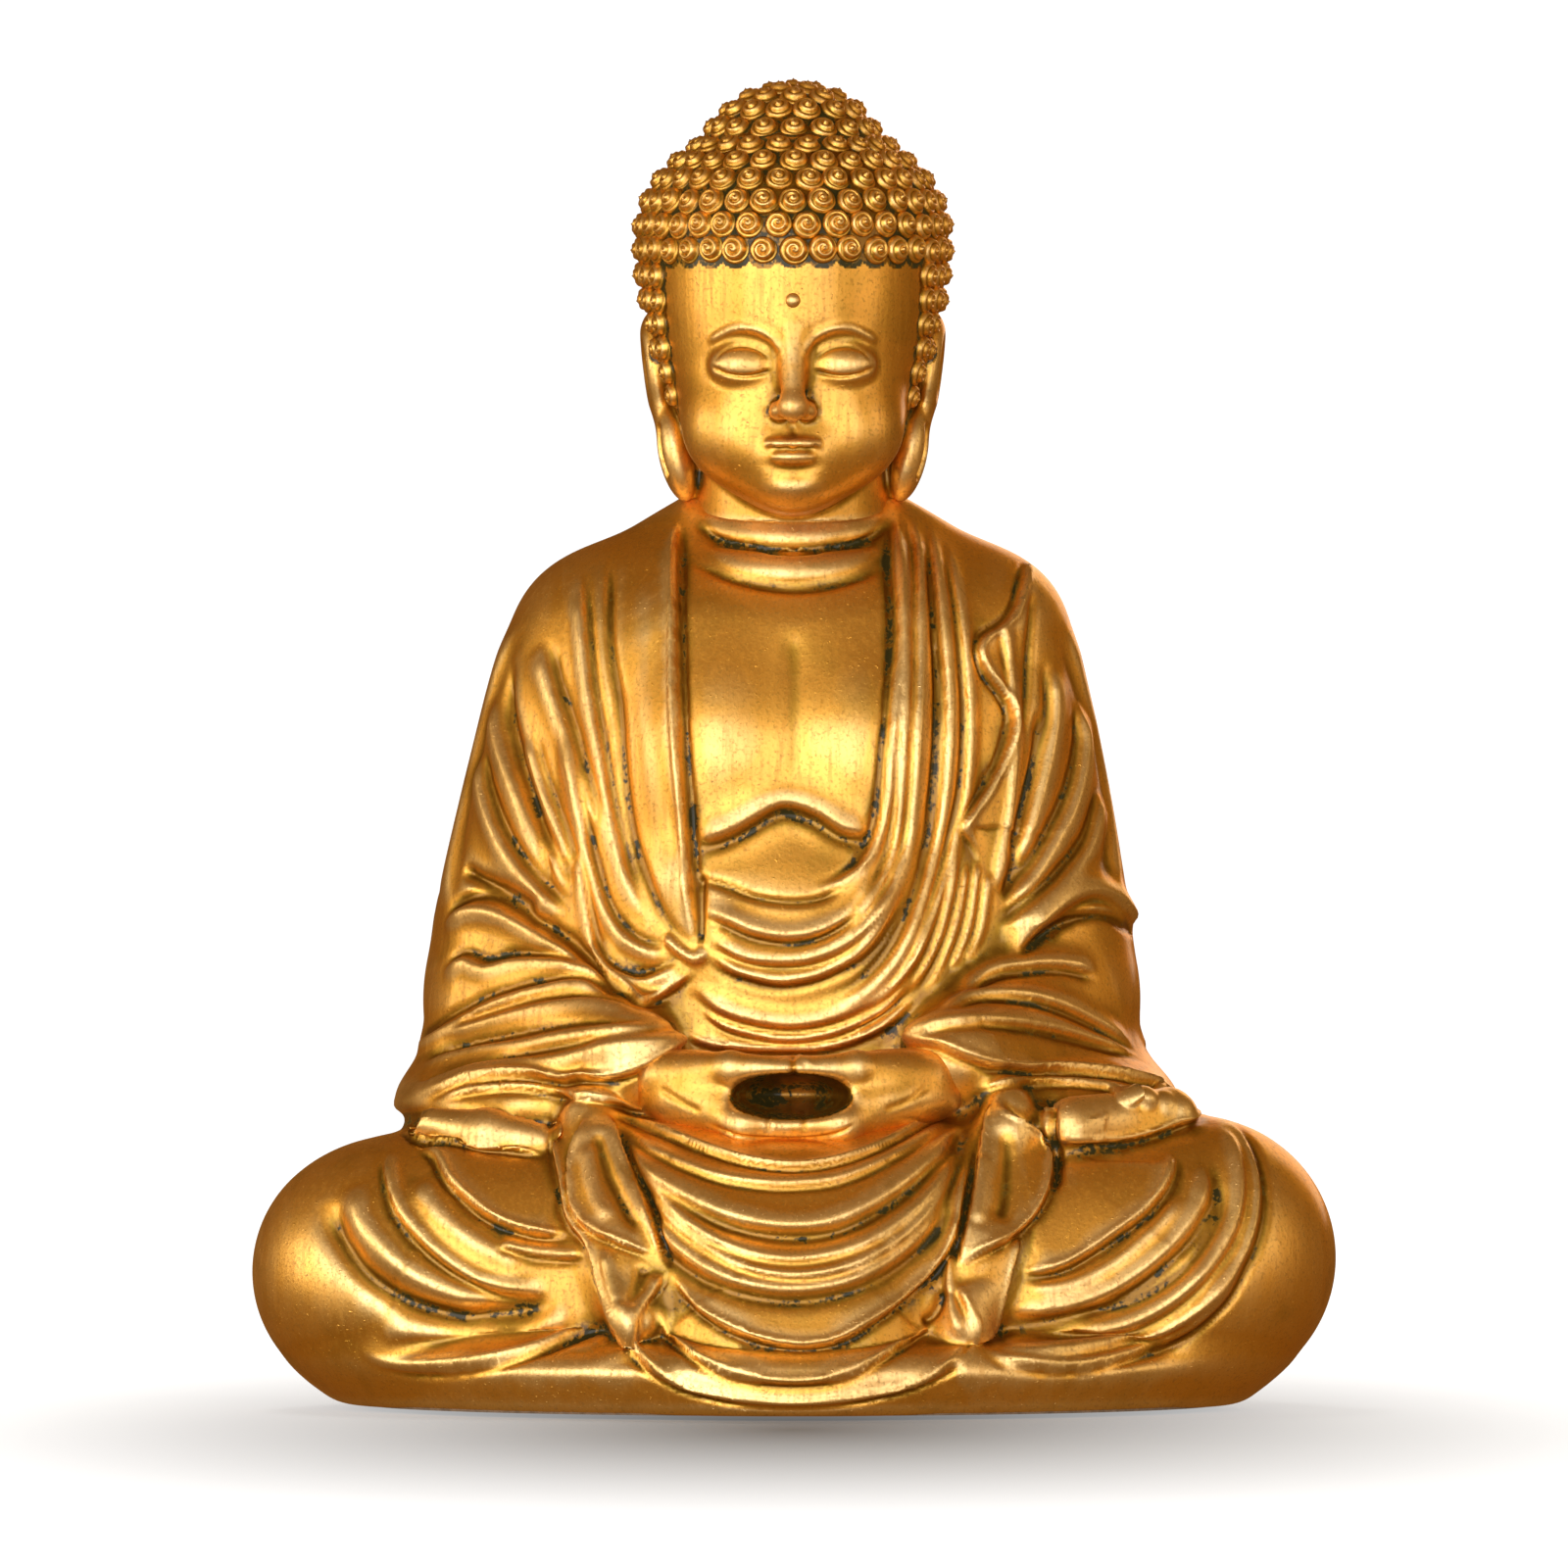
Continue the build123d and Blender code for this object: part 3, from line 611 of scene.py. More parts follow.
BACK_FOLDS = [
    # cloth that goes over the left shoulder and falls down the back
    ("hem", 2.8, 2.0, [(-20, 200), (-12, 190), (4, 178), (22, 162), (38, 142), (50, 118), (58, 94),
        (62, 74)]),
    ("pleat", 2.1, 2.5, [(-30, 198), (-24, 184), (-8, 168), (10, 150), (26, 128), (38, 102), (44, 78)]),
    ("pleat", 2.2, 2.6, [(-40, 194), (-35, 178), (-22, 158), (-6, 138), (10, 114), (20, 90), (25, 74)]),
    ("pleat", 2.2, 2.7, [(-49, 186), (-46, 168), (-37, 146), (-22, 122), (-8, 98), (2, 76)]),
    ("pleat", 2.1, 2.6, [(-56, 170), (-54, 150), (-47, 128), (-36, 104), (-24, 78)]),
    ("pleat", 1.9, 2.4, [(-61, 150), (-60, 128), (-54, 106), (-44, 80)]),
    ("groove", 1.8, 2.8, [(-26, 196), (-18, 180), (-2, 164), (14, 146), (30, 124), (40, 100)]),
    ("ridge", 1.2, 3.0, [(40, 188), (50, 168), (58, 146), (64, 120), (68, 96)]),
    ("pleat", 1.8, 2.4, [(28, 196), (40, 180), (50, 158), (57, 134), (60, 112)]),
    ("groove", 1.2, 3.0, [(0, 192), (1, 176), (0, 160)]),
    # seat
    ("hem", 2.0, 1.7, [(-70, 62), (-45, 67), (-20, 69), (0, 69.5), (20, 69), (45, 67), (70, 62)]),
    ("pleat", 1.9, 2.4, [(-84, 50), (-58, 48), (-30, 44), (0, 42), (30, 44), (58, 48), (84, 50)]),
    ("pleat", 1.9, 2.4, [(-86, 34), (-60, 29), (-30, 24), (0, 22), (30, 24), (60, 29), (86, 34)]),
    ("hem", 1.7, 1.6, [(-84, 12), (-56, 9), (-26, 7.5), (0, 7), (26, 7.5), (56, 9), (84, 12)]),
]


def folded(shape, points):
    """Points of the smooth body, lifted by every fold."""
    out, _ = slope_of(shape, points)
    lift = fold_all(shape, points, out, FRONT_FOLDS, "front")
    lift += fold_all(shape, points, out, LEFT_SIDE_FOLDS, "left")
    lift += fold_all(shape, points, out, RIGHT_SIDE_FOLDS, "right")
    lift += fold_all(shape, points, out, BACK_FOLDS, "back")
    on_floor = np.clip((points[:, 2] - FLOOR_Z) / 2.0, 0, 1)
    return points + out * (lift * on_floor)[:, None]


# ---- hands --------------------------------------------------------------------------------
HANDS_LOW = 58.5
# The hollow between the thumbs and the palms is painted dark, as patina and painted shade.
HOLLOW_SHADE_DEPTH = 0.9                          # cavity value inside the hollow, so that it is dark


def hollow(p):
    """The hollow between the thumbs and the palms."""
    return egg(p, (-0.5, -58, 71.4), (13.5, 17, 4.7))


def hands(p):
    """Two hands laid palm up one on the other, with the thumbs meeting over a hollow."""
    d = egg(p, (2, -38, 70.5), (35, 18, 9.5))
    for side in (-1, 1):
        d = join(d, bar(p, (side * 22, -40, 72.5), (side * 44, -26, 77), 8.2, 6), 7)
        d = join(d, bar(p, (side * 30, -42, 76.2), (side * 14, -51, 77.6), 4.4, 3.6), 4)  # thumb
        d = join(d, bar(p, (side * 14, -51, 77.6), (side * 1.6, -54, 77.2), 3.6, 2.7), 1.6)
        d = join(d, bar(p, (side * 25, -44, 69.5), (side * 11, -54, 65), 4.2, 4), 4)      # palm
    d = join(d, bar(p, (-11, -54, 65), (11, -54.5, 65), 4, 3.8), 2.5)         # upper fingers
    d = join(d, bar(p, (-13, -49.5, 62.6), (13, -50, 62.8), 3.2, 3), 0.8)     # lower fingers
    return np.maximum(cut(d, hollow(p), 2.2), HANDS_LOW - p[:, 2])


HAND_FOLDS = [
    # where the thumbs meet, the fingers under the upper hand, and the creases of the palms
    ("groove", 0.8, 0.6, [(0.1, 82), (0, 79), (0.2, 75.5)]),
    ("groove", 0.7, 0.5, [(-19, 65.2), (-12, 62.6), (-4, 61.9), (4, 62), (10, 63.2), (15, 66)]),
    ("groove", 0.4, 0.6, [(-6, 68), (-5.4, 65), (-5.6, 62.6)]),
    ("groove", 0.4, 0.6, [(2, 68), (2.6, 65), (2.4, 62.6)]),
    ("groove", 0.35, 0.9, [(-30, 73), (-25, 70), (-20, 67.4)]),
    ("groove", 0.35, 0.9, [(31, 74), (26, 70.4), (20, 68)]),
    ("ridge", 0.5, 1.0, [(1.4, 80), (3.6, 79), (4.4, 77.4)]),
]


def hand_mesh():
    cell, splits = ((2.0, 2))
    points, quads = grow(hands, (-58, -66, 54), (58, -8, 90), cell, splits)
    out, _ = slope_of(hands, points)
    lift = fold_all(hands, points, out, HAND_FOLDS, "front")
    return points + out * lift[:, None], quads


# ---- head ---------------------------------------------------------------------------------
# Brow, nose base and mouth are placed by equal thirds between hairline and chin, and the eyes by
# fifths of the face's width. CHIN_Z and FACE_R are set values, and don't come from a rule.
SKULL_AT, SKULL_R = (0.0, 18.0, 254.0), (33.5, 38.0, 34.0)
VAULT_AT, VAULT_R = (0.0, 20.0, 264.5), (34.0, 38.0, 24.6)
CROWN_AT, CROWN_R = (0.0, 22.0, 279.5), (20.6, 20.6, 17.5)
FACE_AT, FACE_R = (0.0, 9.0, 234.0), (27.5, 27.5, 31.0)
CHIN_Z = 203.0
HAIRLINE_Z = 260.0
THIRD = (HAIRLINE_Z - CHIN_Z) / 3
BROW_Z = HAIRLINE_Z - THIRD
NOSE_Z = BROW_Z - THIRD
MOUTH_Z = NOSE_Z - THIRD / 3
EYE_Z = BROW_Z - 6.0
EYE_X = 11.0
EYE_HALF = 6.4
HEAD_LOW = NECK_JOINT_Z - 0.3


def skin(p):
    """Skull, crown and face as smooth shapes, which the hair sits on."""
    d = join(egg(p, SKULL_AT, SKULL_R), egg(p, VAULT_AT, VAULT_R), 5)
    d = join(d, egg(p, CROWN_AT, CROWN_R), 3)
    return join(d, egg(p, FACE_AT, FACE_R), 9)


def head(p):
    """The skin with its features, the ears, and the neck above the joint."""
    d = skin(p)
    d = join(d, egg(p, (0, -7.5, CHIN_Z + 6), (11, 12, 8.5)), 9)                   # chin
    for side in (-1, 1):
        d = join(d, egg(p, (side * 13, -6, 219.5), (11, 10, 11)), 9)               # cheek
        d = cut(d, egg(p, (side * EYE_X, -23.4, EYE_Z + 1.4), (8.8, 5.6, 5.6)), 5)
        d = join(d, egg(p, (side * EYE_X, -14.4, EYE_Z - 0.4), (7.4, 4.5, 4.6)), 2.6)
    d = join(d, bar(p, (0, -17.4, BROW_Z + 1), (0, -22.6, NOSE_Z + 4), 1.9, 2.7), 4.5)
    d = join(d, ball(p, (0, -23.0, NOSE_Z + 2.7), 2.9), 2.5)
    for side in (-1, 1):
        d = join(d, egg(p, (side * 3.4, -19.8, NOSE_Z + 2.2), (2.1, 3.0, 2.0)), 1.8)
    d = join(d, egg(p, (0, -14.4, MOUTH_Z), (8.6, 4.2, 5.2)), 5)                     # round the mouth
    d = cut(d, egg(p, (0, -23.2, MOUTH_Z - 5.2), (7.5, 3.8, 1.8)), 3.5)
    for side in (-1, 1):
        d = join(d, egg(p, (side * 2.2, -18.9, MOUTH_Z + 1.2), (3.9, 2.3, 1.3)), 1.0)
    d = join(d, egg(p, (0, -18.6, MOUTH_Z - 1.8), (4.7, 2.7, 1.7)), 1.2)
    d = join(d, neck(p), 2)
    for side in (-1, 1):
        d = join(d, ear(p, side), 2)
    return np.maximum(d, HEAD_LOW - p[:, 2])


def ear(p, side):
    """A long-lobed ear with a raised rim and a slit in the lobe."""
    q = p * np.array([side, 1, 1])
    d = egg(q, (31.0, 20, 233), (3.4, 8.6, 12.5), 0.14)
    d = join(d, egg(q, (26.2, 14.5, 214), (4.2, 7.0, 10.4), 0.18), 4)
    d = cut(d, egg(q, (35.2, 18.5, 234), (3.2, 5.2, 8.2), 0.14), 1.4)
    return cut(d, bar(q, (30.8, 12.4, 220), (28.8, 11.6, 210), 1.2, 1.5), 1.0)


def face_folds():
    """Brows, closed lids, nostrils and the line of the mouth, the same on both sides."""
    x, z = EYE_X, EYE_Z
    inner, outer = x - EYE_HALF, x + EYE_HALF
    brow = [(2.2, -4.6), (4.2, -0.8), (8.6, 1.6), (13.6, 1.6), (19.5, -1.6)]
    crease = [(inner, 0.4), (x - 3.2, 2.8), (x + 0.6, 3.6), (x + 4.4, 2.6), (outer + 0.6, 0)]
    lashes = [(inner - 0.2, -1.5), (x - 3, -2.7), (x + 0.4, -3.1), (x + 3.8, -2.6), (outer + 1.2, -0.9)]
    nostril = [(1.5, 0.3), (2.7, 0.5), (3.7, 1.2)]
    wing = [(4.8, 3.6), (5.9, 2.2), (5.4, 0.6)]
    lips = [(-6.2, 0.7), (-3.8, 0.05), (-1.4, 0.2), (0, -0.3), (1.4, 0.2), (3.8, 0.05), (6.2, 0.7)]
    one_side = [
        ("ridge", 0.7, 1.1, brow, BROW_Z),
        ("groove", 0.35, 0.5, crease, z),
        ("groove", 0.8, 0.45, lashes, z),
        ("groove", 0.9, 0.6, nostril, NOSE_Z),
        ("groove", 0.35, 0.6, wing, NOSE_Z),
    ]
    middle = [
        ("groove", 0.6, 0.45, lips, MOUTH_Z),
        ("groove", 0.4, 0.7, [(0, -0.8), (0, -3.2)], NOSE_Z),
    ]
    other_side = [
        (kind, height, width, [(-u, v) for u, v in reversed(line)], level)
        for kind, height, width, line, level in one_side
    ]
    return [
        (kind, height, width, [(u, level + v) for u, v in line])
        for kind, height, width, line, level in one_side + other_side + middle
    ]


def head_mesh():
    cell, splits = ((2.0, 2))
    points, quads = grow(head, (-42, -32, 192), (42, 62, 302), cell, splits)
    out, _ = slope_of(head, points)
    lift = fold_all(head, points, out, face_folds(), "front")
    return points + out * lift[:, None], quads


# ---- hair ---------------------------------------------------------------------------------
CURL_R, CURL_H = 3.4, 2.3
CURL_PITCH, ROW_PITCH = 6.6, 5.7
NAPE_Z = 224.0
CROWN_FROM_Z = 283.5
HAIR_Y = 18.0
FACE_HALF_ANGLE = 56.0
EAR_Y, EAR_TOP_Z = (9.5, 30.0), 247.0
CURL_TURNS = 2.4
CURL_RINGS, CURL_SPOKES = ((16, 28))
CURL_FOOT = -1.6
GROOVE = 0.85
GOLDEN_ANGLE = 2.4


def skin_at(z, turns):
    """Points on the skin at one height. Turn 0 is the front."""
    away = np.stack([np.sin(turns), -np.cos(turns), 0 * turns], 1)
    centre = np.array([0, HAIR_Y, z])
    near, far = np.zeros(len(turns)), np.full(len(turns), 60.0)
    for _ in range(22):
        middle = (near + far) / 2
        inside = skin(centre + away * middle[:, None]) < 0
        near, far = np.where(inside, middle, near), np.where(inside, far, middle)
    return centre + away * near[:, None]


def heights_from_hairline(direction):
    """Heights one row apart along the side of the head, upwards (1) or downwards (-1)."""
    spot = skin_at(HAIRLINE_Z + 0.5, np.array([pi / 2]))
    heights = []
    while spot[0, 2] > NAPE_Z and spot[0, 0] > CURL_R:
        heights.append(spot[0, 2])
        outward, _ = slope_of(skin, spot)
        along = direction * np.array([-outward[0, 2], 0, outward[0, 0]])
        spot = settle(skin, spot + along / np.linalg.norm(along) * ROW_PITCH)
    return heights


def curl_row(z, row):
    """The middles of one row of curls, evenly spaced. Below the hairline it leaves out the face."""
    below = z < HAIRLINE_Z
    half_turn = radians(FACE_HALF_ANGLE) if below else 0.0
    turns = np.linspace(half_turn, 2 * pi - half_turn, 121)
    steps = np.linalg.norm(np.diff(skin_at(z, turns), axis=0), axis=1)
    walked = np.concatenate([[0], np.cumsum(steps)])
    count = max(3, round(walked[-1] / CURL_PITCH))
    shift = 0.5 if below or row % 2 else 0.0
    return skin_at(z, np.interp((np.arange(count) + shift) / count * walked[-1], walked, turns))


def hair_places():
    """The middle of every curl, row by row: those of the skull, and those of the crown."""
    heights = heights_from_hairline(-1)[:0:-1] + heights_from_hairline(1)
    skull, crown = [], []
    for row, z in enumerate(heights):
        for spot in curl_row(z, row):
            at_ear = EAR_Y[0] < spot[1] < EAR_Y[1] and z < EAR_TOP_Z
            if not at_ear:
                (crown if z > CROWN_FROM_Z else skull).append(spot)
    crown.append(np.array(CROWN_AT) + np.array([0, 0, CROWN_R[2]]))
    return np.array(skull), np.array(crown)


def tangents(outward):
    """Two directions along the surface."""
    up = np.array([0, 0, 1.0]) if abs(outward[2]) < 0.95 else np.array([0, 1.0, 0])
    across = np.cross(up, outward)
    across /= np.linalg.norm(across)
    return across, np.cross(outward, across)


def curl_points(turn):
    """One curl as rings of points from the middle out, then down under the hair, and a foot.

    It is a dome with a spiral band that winds out from a nub. The second result is how deep
    each point lies: -0.4 on the band, and more in the groove beside it and round the foot."""
    reach = (np.arange(1, CURL_RINGS + 1) / CURL_RINGS)[:, None]
    angle = (np.arange(CURL_SPOKES) / CURL_SPOKES * 2 * pi)[None, :]
    band = np.abs(np.sin(pi * (CURL_TURNS * reach - (angle + turn) / (2 * pi)))) ** 0.7
    groove = (1 - band) * np.clip(reach / 0.24, 0, 1) * np.clip((1.05 - reach) / 0.15, 0, 1)
    nub = 0.25 * np.clip(1 - reach / 0.22, 0, 1)
    height = CURL_H * (1 - reach ** 3) - GROOVE * groove + nub - 0.15
    # These set depths make the gold paint the band pale, partly a painted highlight, and the groove and the
    # foot dark, partly painted shade.
    depth = 1.7 * groove - 0.4 + 1.6 * np.clip((reach - 0.86) / 0.14, 0, 1)
    radius = np.concatenate([CURL_R * reach * (1 + 0 * angle), np.full((1, CURL_SPOKES), CURL_R * 0.9)])
    height = np.concatenate([height, np.full((1, CURL_SPOKES), CURL_FOOT)])
    depth = np.concatenate([[-0.4], depth.ravel(), np.full(CURL_SPOKES + 1, 1.6)])
    angle = np.broadcast_to(angle, radius.shape)
    rings = np.stack([radius * np.cos(angle), radius * np.sin(angle), height], -1).reshape(-1, 3)
    top, bottom = np.array([[0, 0, CURL_H + 0.25]]), np.array([[0, 0, CURL_FOOT]])
    return np.concatenate([top, rings, bottom]), depth


def curl_faces():
    """The faces of one curl: quads between rings, and triangles at the top and the foot."""
    ring = np.arange(CURL_SPOKES)
    after = np.roll(ring, -1)
    faces = [[0, 1 + a, 1 + b] for a, b in zip(ring, after)]
    for i in range(CURL_RINGS):
        low, high = 1 + i * CURL_SPOKES, 1 + (i + 1) * CURL_SPOKES
        faces += [[low + a, high + a, high + b, low + b] for a, b in zip(ring, after)]
    last = 1 + CURL_RINGS * CURL_SPOKES
    bottom = last + CURL_SPOKES
    faces += [[last + b, last + a, bottom] for a, b in zip(ring, after)]
    return faces


def hair_mesh(places, seed):
    """All the curls of one piece of hair, a little uneven, as modelled by hand."""
    rng = np.random.default_rng(seed)
    outwards, _ = slope_of(skin, places)
    points, faces, depths = [], [], []
    pattern = curl_faces()
    for i, (point, outward) in enumerate(zip(places, outwards)):
        across, up = tangents(outward)
        shape, depth = curl_points(0.8 * sin(GOLDEN_ANGLE * i))
        size = 1 + rng.uniform(-0.05, 0.04)
        lean = rng.uniform(-0.06, 0.06, 2)
        shift = rng.uniform(-0.3, 0.3, 2)
        x, y = shape[:, 0] * size + shift[0], shape[:, 1] * size + shift[1]
        height = shape[:, 2] * size + lean[0] * shape[:, 0] + lean[1] * shape[:, 1]
        start = i * len(shape)
        points.append(point + x[:, None] * across + y[:, None] * up + height[:, None] * outward)
        depths.append(depth)
        faces += [[start + k for k in face] for face in pattern]
    return np.concatenate(points), faces, np.concatenate(depths)


# ---- Blender objects ----------------------------------------------------------------------
def mesh_object(name, points, faces, cavity=None):
    """A smooth-shaded object from points in millimetres, with an optional value per point."""
    mesh = bpy.data.meshes.new(name)
    faces = faces.tolist() if isinstance(faces, np.ndarray) else faces
    mesh.from_pydata((points * MM).tolist(), [], faces)
    mesh.update()
    mesh.shade_smooth()
    if cavity is not None:
        layer = mesh.attributes.new("cavity", "FLOAT", "POINT")
        layer.data.foreach_set("value", np.ascontiguousarray(cavity, dtype=np.float32))
    piece = bpy.data.objects.new(name, mesh)
    bpy.context.collection.objects.link(piece)
    return piece


CAVITY_ROUNDS = 30


def cavity_of(points, quads):
    """How deep each point lies below its surroundings, in millimetres. Ridges are negative."""
    edges, _ = edges_of(quads)
    flat = points
    for _ in range(CAVITY_ROUNDS):
        flat = averaged(flat, edges)
    corners = points[quads]
    faces_out = np.cross(corners[:, 2] - corners[:, 0], corners[:, 3] - corners[:, 1])
    out = np.zeros_like(points)
    for i in range(4):
        for axis in range(3):
            out[:, axis] += np.bincount(quads[:, i], faces_out[:, axis], len(points))
    out /= np.linalg.norm(out, axis=1, keepdims=True) + 1e-9
    return np.einsum("ij,ij->i", flat - points, out)


def keep_side(piece, height, above):
    """Keeps what is above or below a height, and closes the cut."""
    mesh = bmesh.new()
    mesh.from_mesh(piece.data)
    geometry = mesh.verts[:] + mesh.edges[:] + mesh.faces[:]
    made = bmesh.ops.bisect_plane(
        mesh, geom=geometry, dist=1e-7, plane_co=(0, 0, height * MM), plane_no=(0, 0, 1),
        clear_inner=above, clear_outer=not above
    )
    rim = [item for item in made["geom_cut"] if isinstance(item, bmesh.types.BMEdge)]
    caps = bmesh.ops.edgeloop_fill(mesh, edges=rim)["faces"]
    caps = set(bmesh.ops.triangulate(mesh, faces=caps)["faces"])
    bmesh.ops.recalc_face_normals(mesh, faces=mesh.faces[:])
    for face in mesh.faces:
        face.smooth = True
    for face in caps:
        face.smooth = False
        for edge in face.edges:
            edge.smooth = len([f for f in edge.link_faces if f in caps]) == 2
    mesh.to_mesh(piece.data)
    mesh.free()
    return piece


def place(piece, slot, material, *nodes):
    """Puts a finished piece in the frame, in the place of CAD nodes."""
    piece.data.materials.append(material)
    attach(piece, "root")
    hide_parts(*nodes)
    return piece


# ---- materials ----------------------------------------------------------------------------
BLACK, WHITE = (0, 0, 0), (1, 1, 1)


class Paint:
    """A material with one Principled shader, and the nodes that feed it."""

    def __init__(self, name):
        self.material = bpy.data.materials.new(name)
        self.material.use_nodes = True
        self.nodes = self.material.node_tree.nodes
        self.links = self.material.node_tree.links
        self.shader = self.nodes["Principled BSDF"]

    def feed(self, socket, value):
        """Sets a socket to a number or a colour, or links another socket to it."""
        if isinstance(value, (int, float)):
            socket.default_value = value
        elif isinstance(value, tuple):
            socket.default_value = (*value, 1)
        else:
            self.links.new(value, socket)

    def shade(self, name, value):
        """Feeds one of the shader's own sockets."""
        self.feed(self.shader.inputs[name], value)

    def noise(self, scale, detail, stretch=(1, 1, 1), distortion=0.0):
        """Noise in the object's own metres, stretched along an axis by a small factor there."""
        spot = self.nodes.new("ShaderNodeTexCoord")
        mapping = self.nodes.new("ShaderNodeMapping")
        mapping.inputs["Scale"].default_value = stretch
        texture = self.nodes.new("ShaderNodeTexNoise")
        texture.inputs["Scale"].default_value = scale
        texture.inputs["Detail"].default_value = detail
        texture.inputs["Distortion"].default_value = distortion
        self.links.new(spot.outputs["Object"], mapping.inputs["Vector"])
        self.links.new(mapping.outputs["Vector"], texture.inputs["Vector"])
        return texture.outputs["Fac"]

    def ramp(self, value, stops):
        """A ramp of colours. Each stop is a position and a colour."""
        node = self.nodes.new("ShaderNodeValToRGB")
        steps = node.color_ramp.elements
        while len(steps) < len(stops):
            steps.new(0.5)
        for step, (at, colour) in zip(steps, stops):
            step.position = at
            step.color = (*colour, 1)
        self.links.new(value, node.inputs["Fac"])
        return node.outputs["Color"]

    def math(self, operation, a, b):
        node = self.nodes.new("ShaderNodeMath")
        node.operation = operation
        self.feed(node.inputs[0], a)
        self.feed(node.inputs[1], b)
        return node.outputs["Value"]

    def plus(self, a, b):
        return self.math("ADD", a, b)

    def times(self, a, b):
        return self.math("MULTIPLY", a, b)

    def vector(self, operation, value, other):
        """A vector node that takes a socket and three fixed numbers."""
        node = self.nodes.new("ShaderNodeVectorMath")
        node.operation = operation
        node.inputs[1].default_value = other
        self.links.new(value, node.inputs[0])
        return node.outputs["Vector"]

    def mixed(self, share, a, b):
        """Two colours mixed by a share."""
        node = self.nodes.new("ShaderNodeMix")
        node.data_type = "RGBA"
        self.feed(node.inputs[0], share)
        self.feed(node.inputs[6], a)
        self.feed(node.inputs[7], b)
        return node.outputs[2]

    def spread(self, value, low, high):
        """A value from low to high as a share from 0 to 1."""
        node = self.nodes.new("ShaderNodeMapRange")
        node.inputs["From Min"].default_value = low
        node.inputs["From Max"].default_value = high
        self.links.new(value, node.inputs["Value"])
        return node.outputs["Result"]

    def tinted(self, tone, pattern, low, high, most, colour):
        """A tone with a colour mixed in where a pattern is high, and that colour's share."""
        share = self.times(self.spread(pattern, low, high), most)
        return self.mixed(share, tone, colour), share

    def bumps(self, layers):
        """Bump layers, each (height socket, strength, distance in metres)."""
        normal = None
        for height, strength, distance in layers:
            bump = self.nodes.new("ShaderNodeBump")
            bump.inputs["Strength"].default_value = strength
            bump.inputs["Distance"].default_value = distance
            self.links.new(height, bump.inputs["Height"])
            if normal is not None:
                self.links.new(normal, bump.inputs["Normal"])
            normal = bump.outputs["Normal"]
        self.shade("Normal", normal)


# The depth ramp is pale gold on the ridges, partly rubbed wear and partly a painted highlight. It darkens
# into the creases: olive with patina, then deep gold that is partly brown patina and partly painted shade.
RUBBED_HIGHLIGHT_GOLD = (1.0, 0.70, 0.29)
GOLD = (0.93, 0.50, 0.085)
CLOUD_GOLD = (0.76, 0.34, 0.03)
BRUSH_GOLD = (0.56, 0.25, 0.02)
OLIVE_GOLD = (0.50, 0.30, 0.035)
DEEP_GOLD = (0.25, 0.125, 0.012)
PATINA = (0.028, 0.026, 0.006)
EDGE_TINT = (0.62, 0.30, 0.10)
DEPTH_STOPS = [(0.0, RUBBED_HIGHLIGHT_GOLD), (0.34, GOLD), (0.55, GOLD), (0.8, OLIVE_GOLD), (1.0, DEEP_GOLD)]
STAINED_METAL = (0.45, 0.45, 0.45)
SMOOTHEST = 0.37                            # roughness of the gold where nothing adds to it


def gold_material(name, ridge, hollow, patina_from):
    """Brushed-on gold: pale on the ridges, as rubbed wear and a painted highlight, olive in the folds, and
    dark in the deepest ones, as patina and painted shade.

    ridge and hollow are the cavity values that count as fully raised and fully sunk."""
    paint = Paint(name)
    cavity = paint.nodes.new("ShaderNodeAttribute")
    cavity.attribute_name = "cavity"
    depth = cavity.outputs["Fac"]
    clouds = paint.noise(28, 4)
    mottle = paint.noise(75, 6, distortion=0.6)
    brush = paint.noise(900, 3, (1.0, 1.0, 0.07))
    grain = paint.noise(1300, 3)
    blotch = paint.noise(95, 4, distortion=0.8)
    speck = paint.noise(850, 3)
    pits = paint.ramp(paint.noise(1500, 1), [(0.0, BLACK), (0.70, BLACK), (0.80, WHITE)])

    # painted highlight on the ridges and painted shade in the creases, along with rubbed wear and patina
    tone = paint.ramp(paint.spread(depth, ridge, hollow), DEPTH_STOPS)
    tone, _ = paint.tinted(tone, clouds, 0.42, 0.72, 0.38, CLOUD_GOLD)
    tone, _ = paint.tinted(tone, mottle, 0.50, 0.74, 0.42, OLIVE_GOLD)
    tone, brushed = paint.tinted(tone, brush, 0.50, 0.72, 0.22, BRUSH_GOLD)
    tone, grained = paint.tinted(tone, grain, 0.52, 0.72, 0.38, DEEP_GOLD)
    worn = paint.plus(blotch, paint.times(speck, 0.6))
    worn = paint.plus(worn, paint.times(depth, 0.14))
    deep = paint.spread(depth, patina_from, patina_from * 2)
    stain = paint.times(deep, paint.spread(worn, 0.95, 1.03))
    paint.shade("Base Color", paint.mixed(stain, tone, PATINA))
    paint.shade("Metallic", paint.mixed(stain, WHITE, STAINED_METAL))

    rough = paint.plus(paint.times(paint.spread(clouds, 0.30, 0.75), 0.12), SMOOTHEST)
    for share, most in ((brushed, 0.5), (grained, 0.25), (stain, 0.35)):
        rough = paint.plus(rough, paint.times(share, most))
    paint.shade("Roughness", rough)
    paint.shade("Specular Tint", EDGE_TINT)
    paint.shade("Coat Weight", 0.5)
    paint.shade("Coat Roughness", 0.22)
    paint.bumps([(brush, 0.14, 0.0003), (grain, 0.22, 0.0002), (pits, 0.40, 0.0003)])
    return paint.material


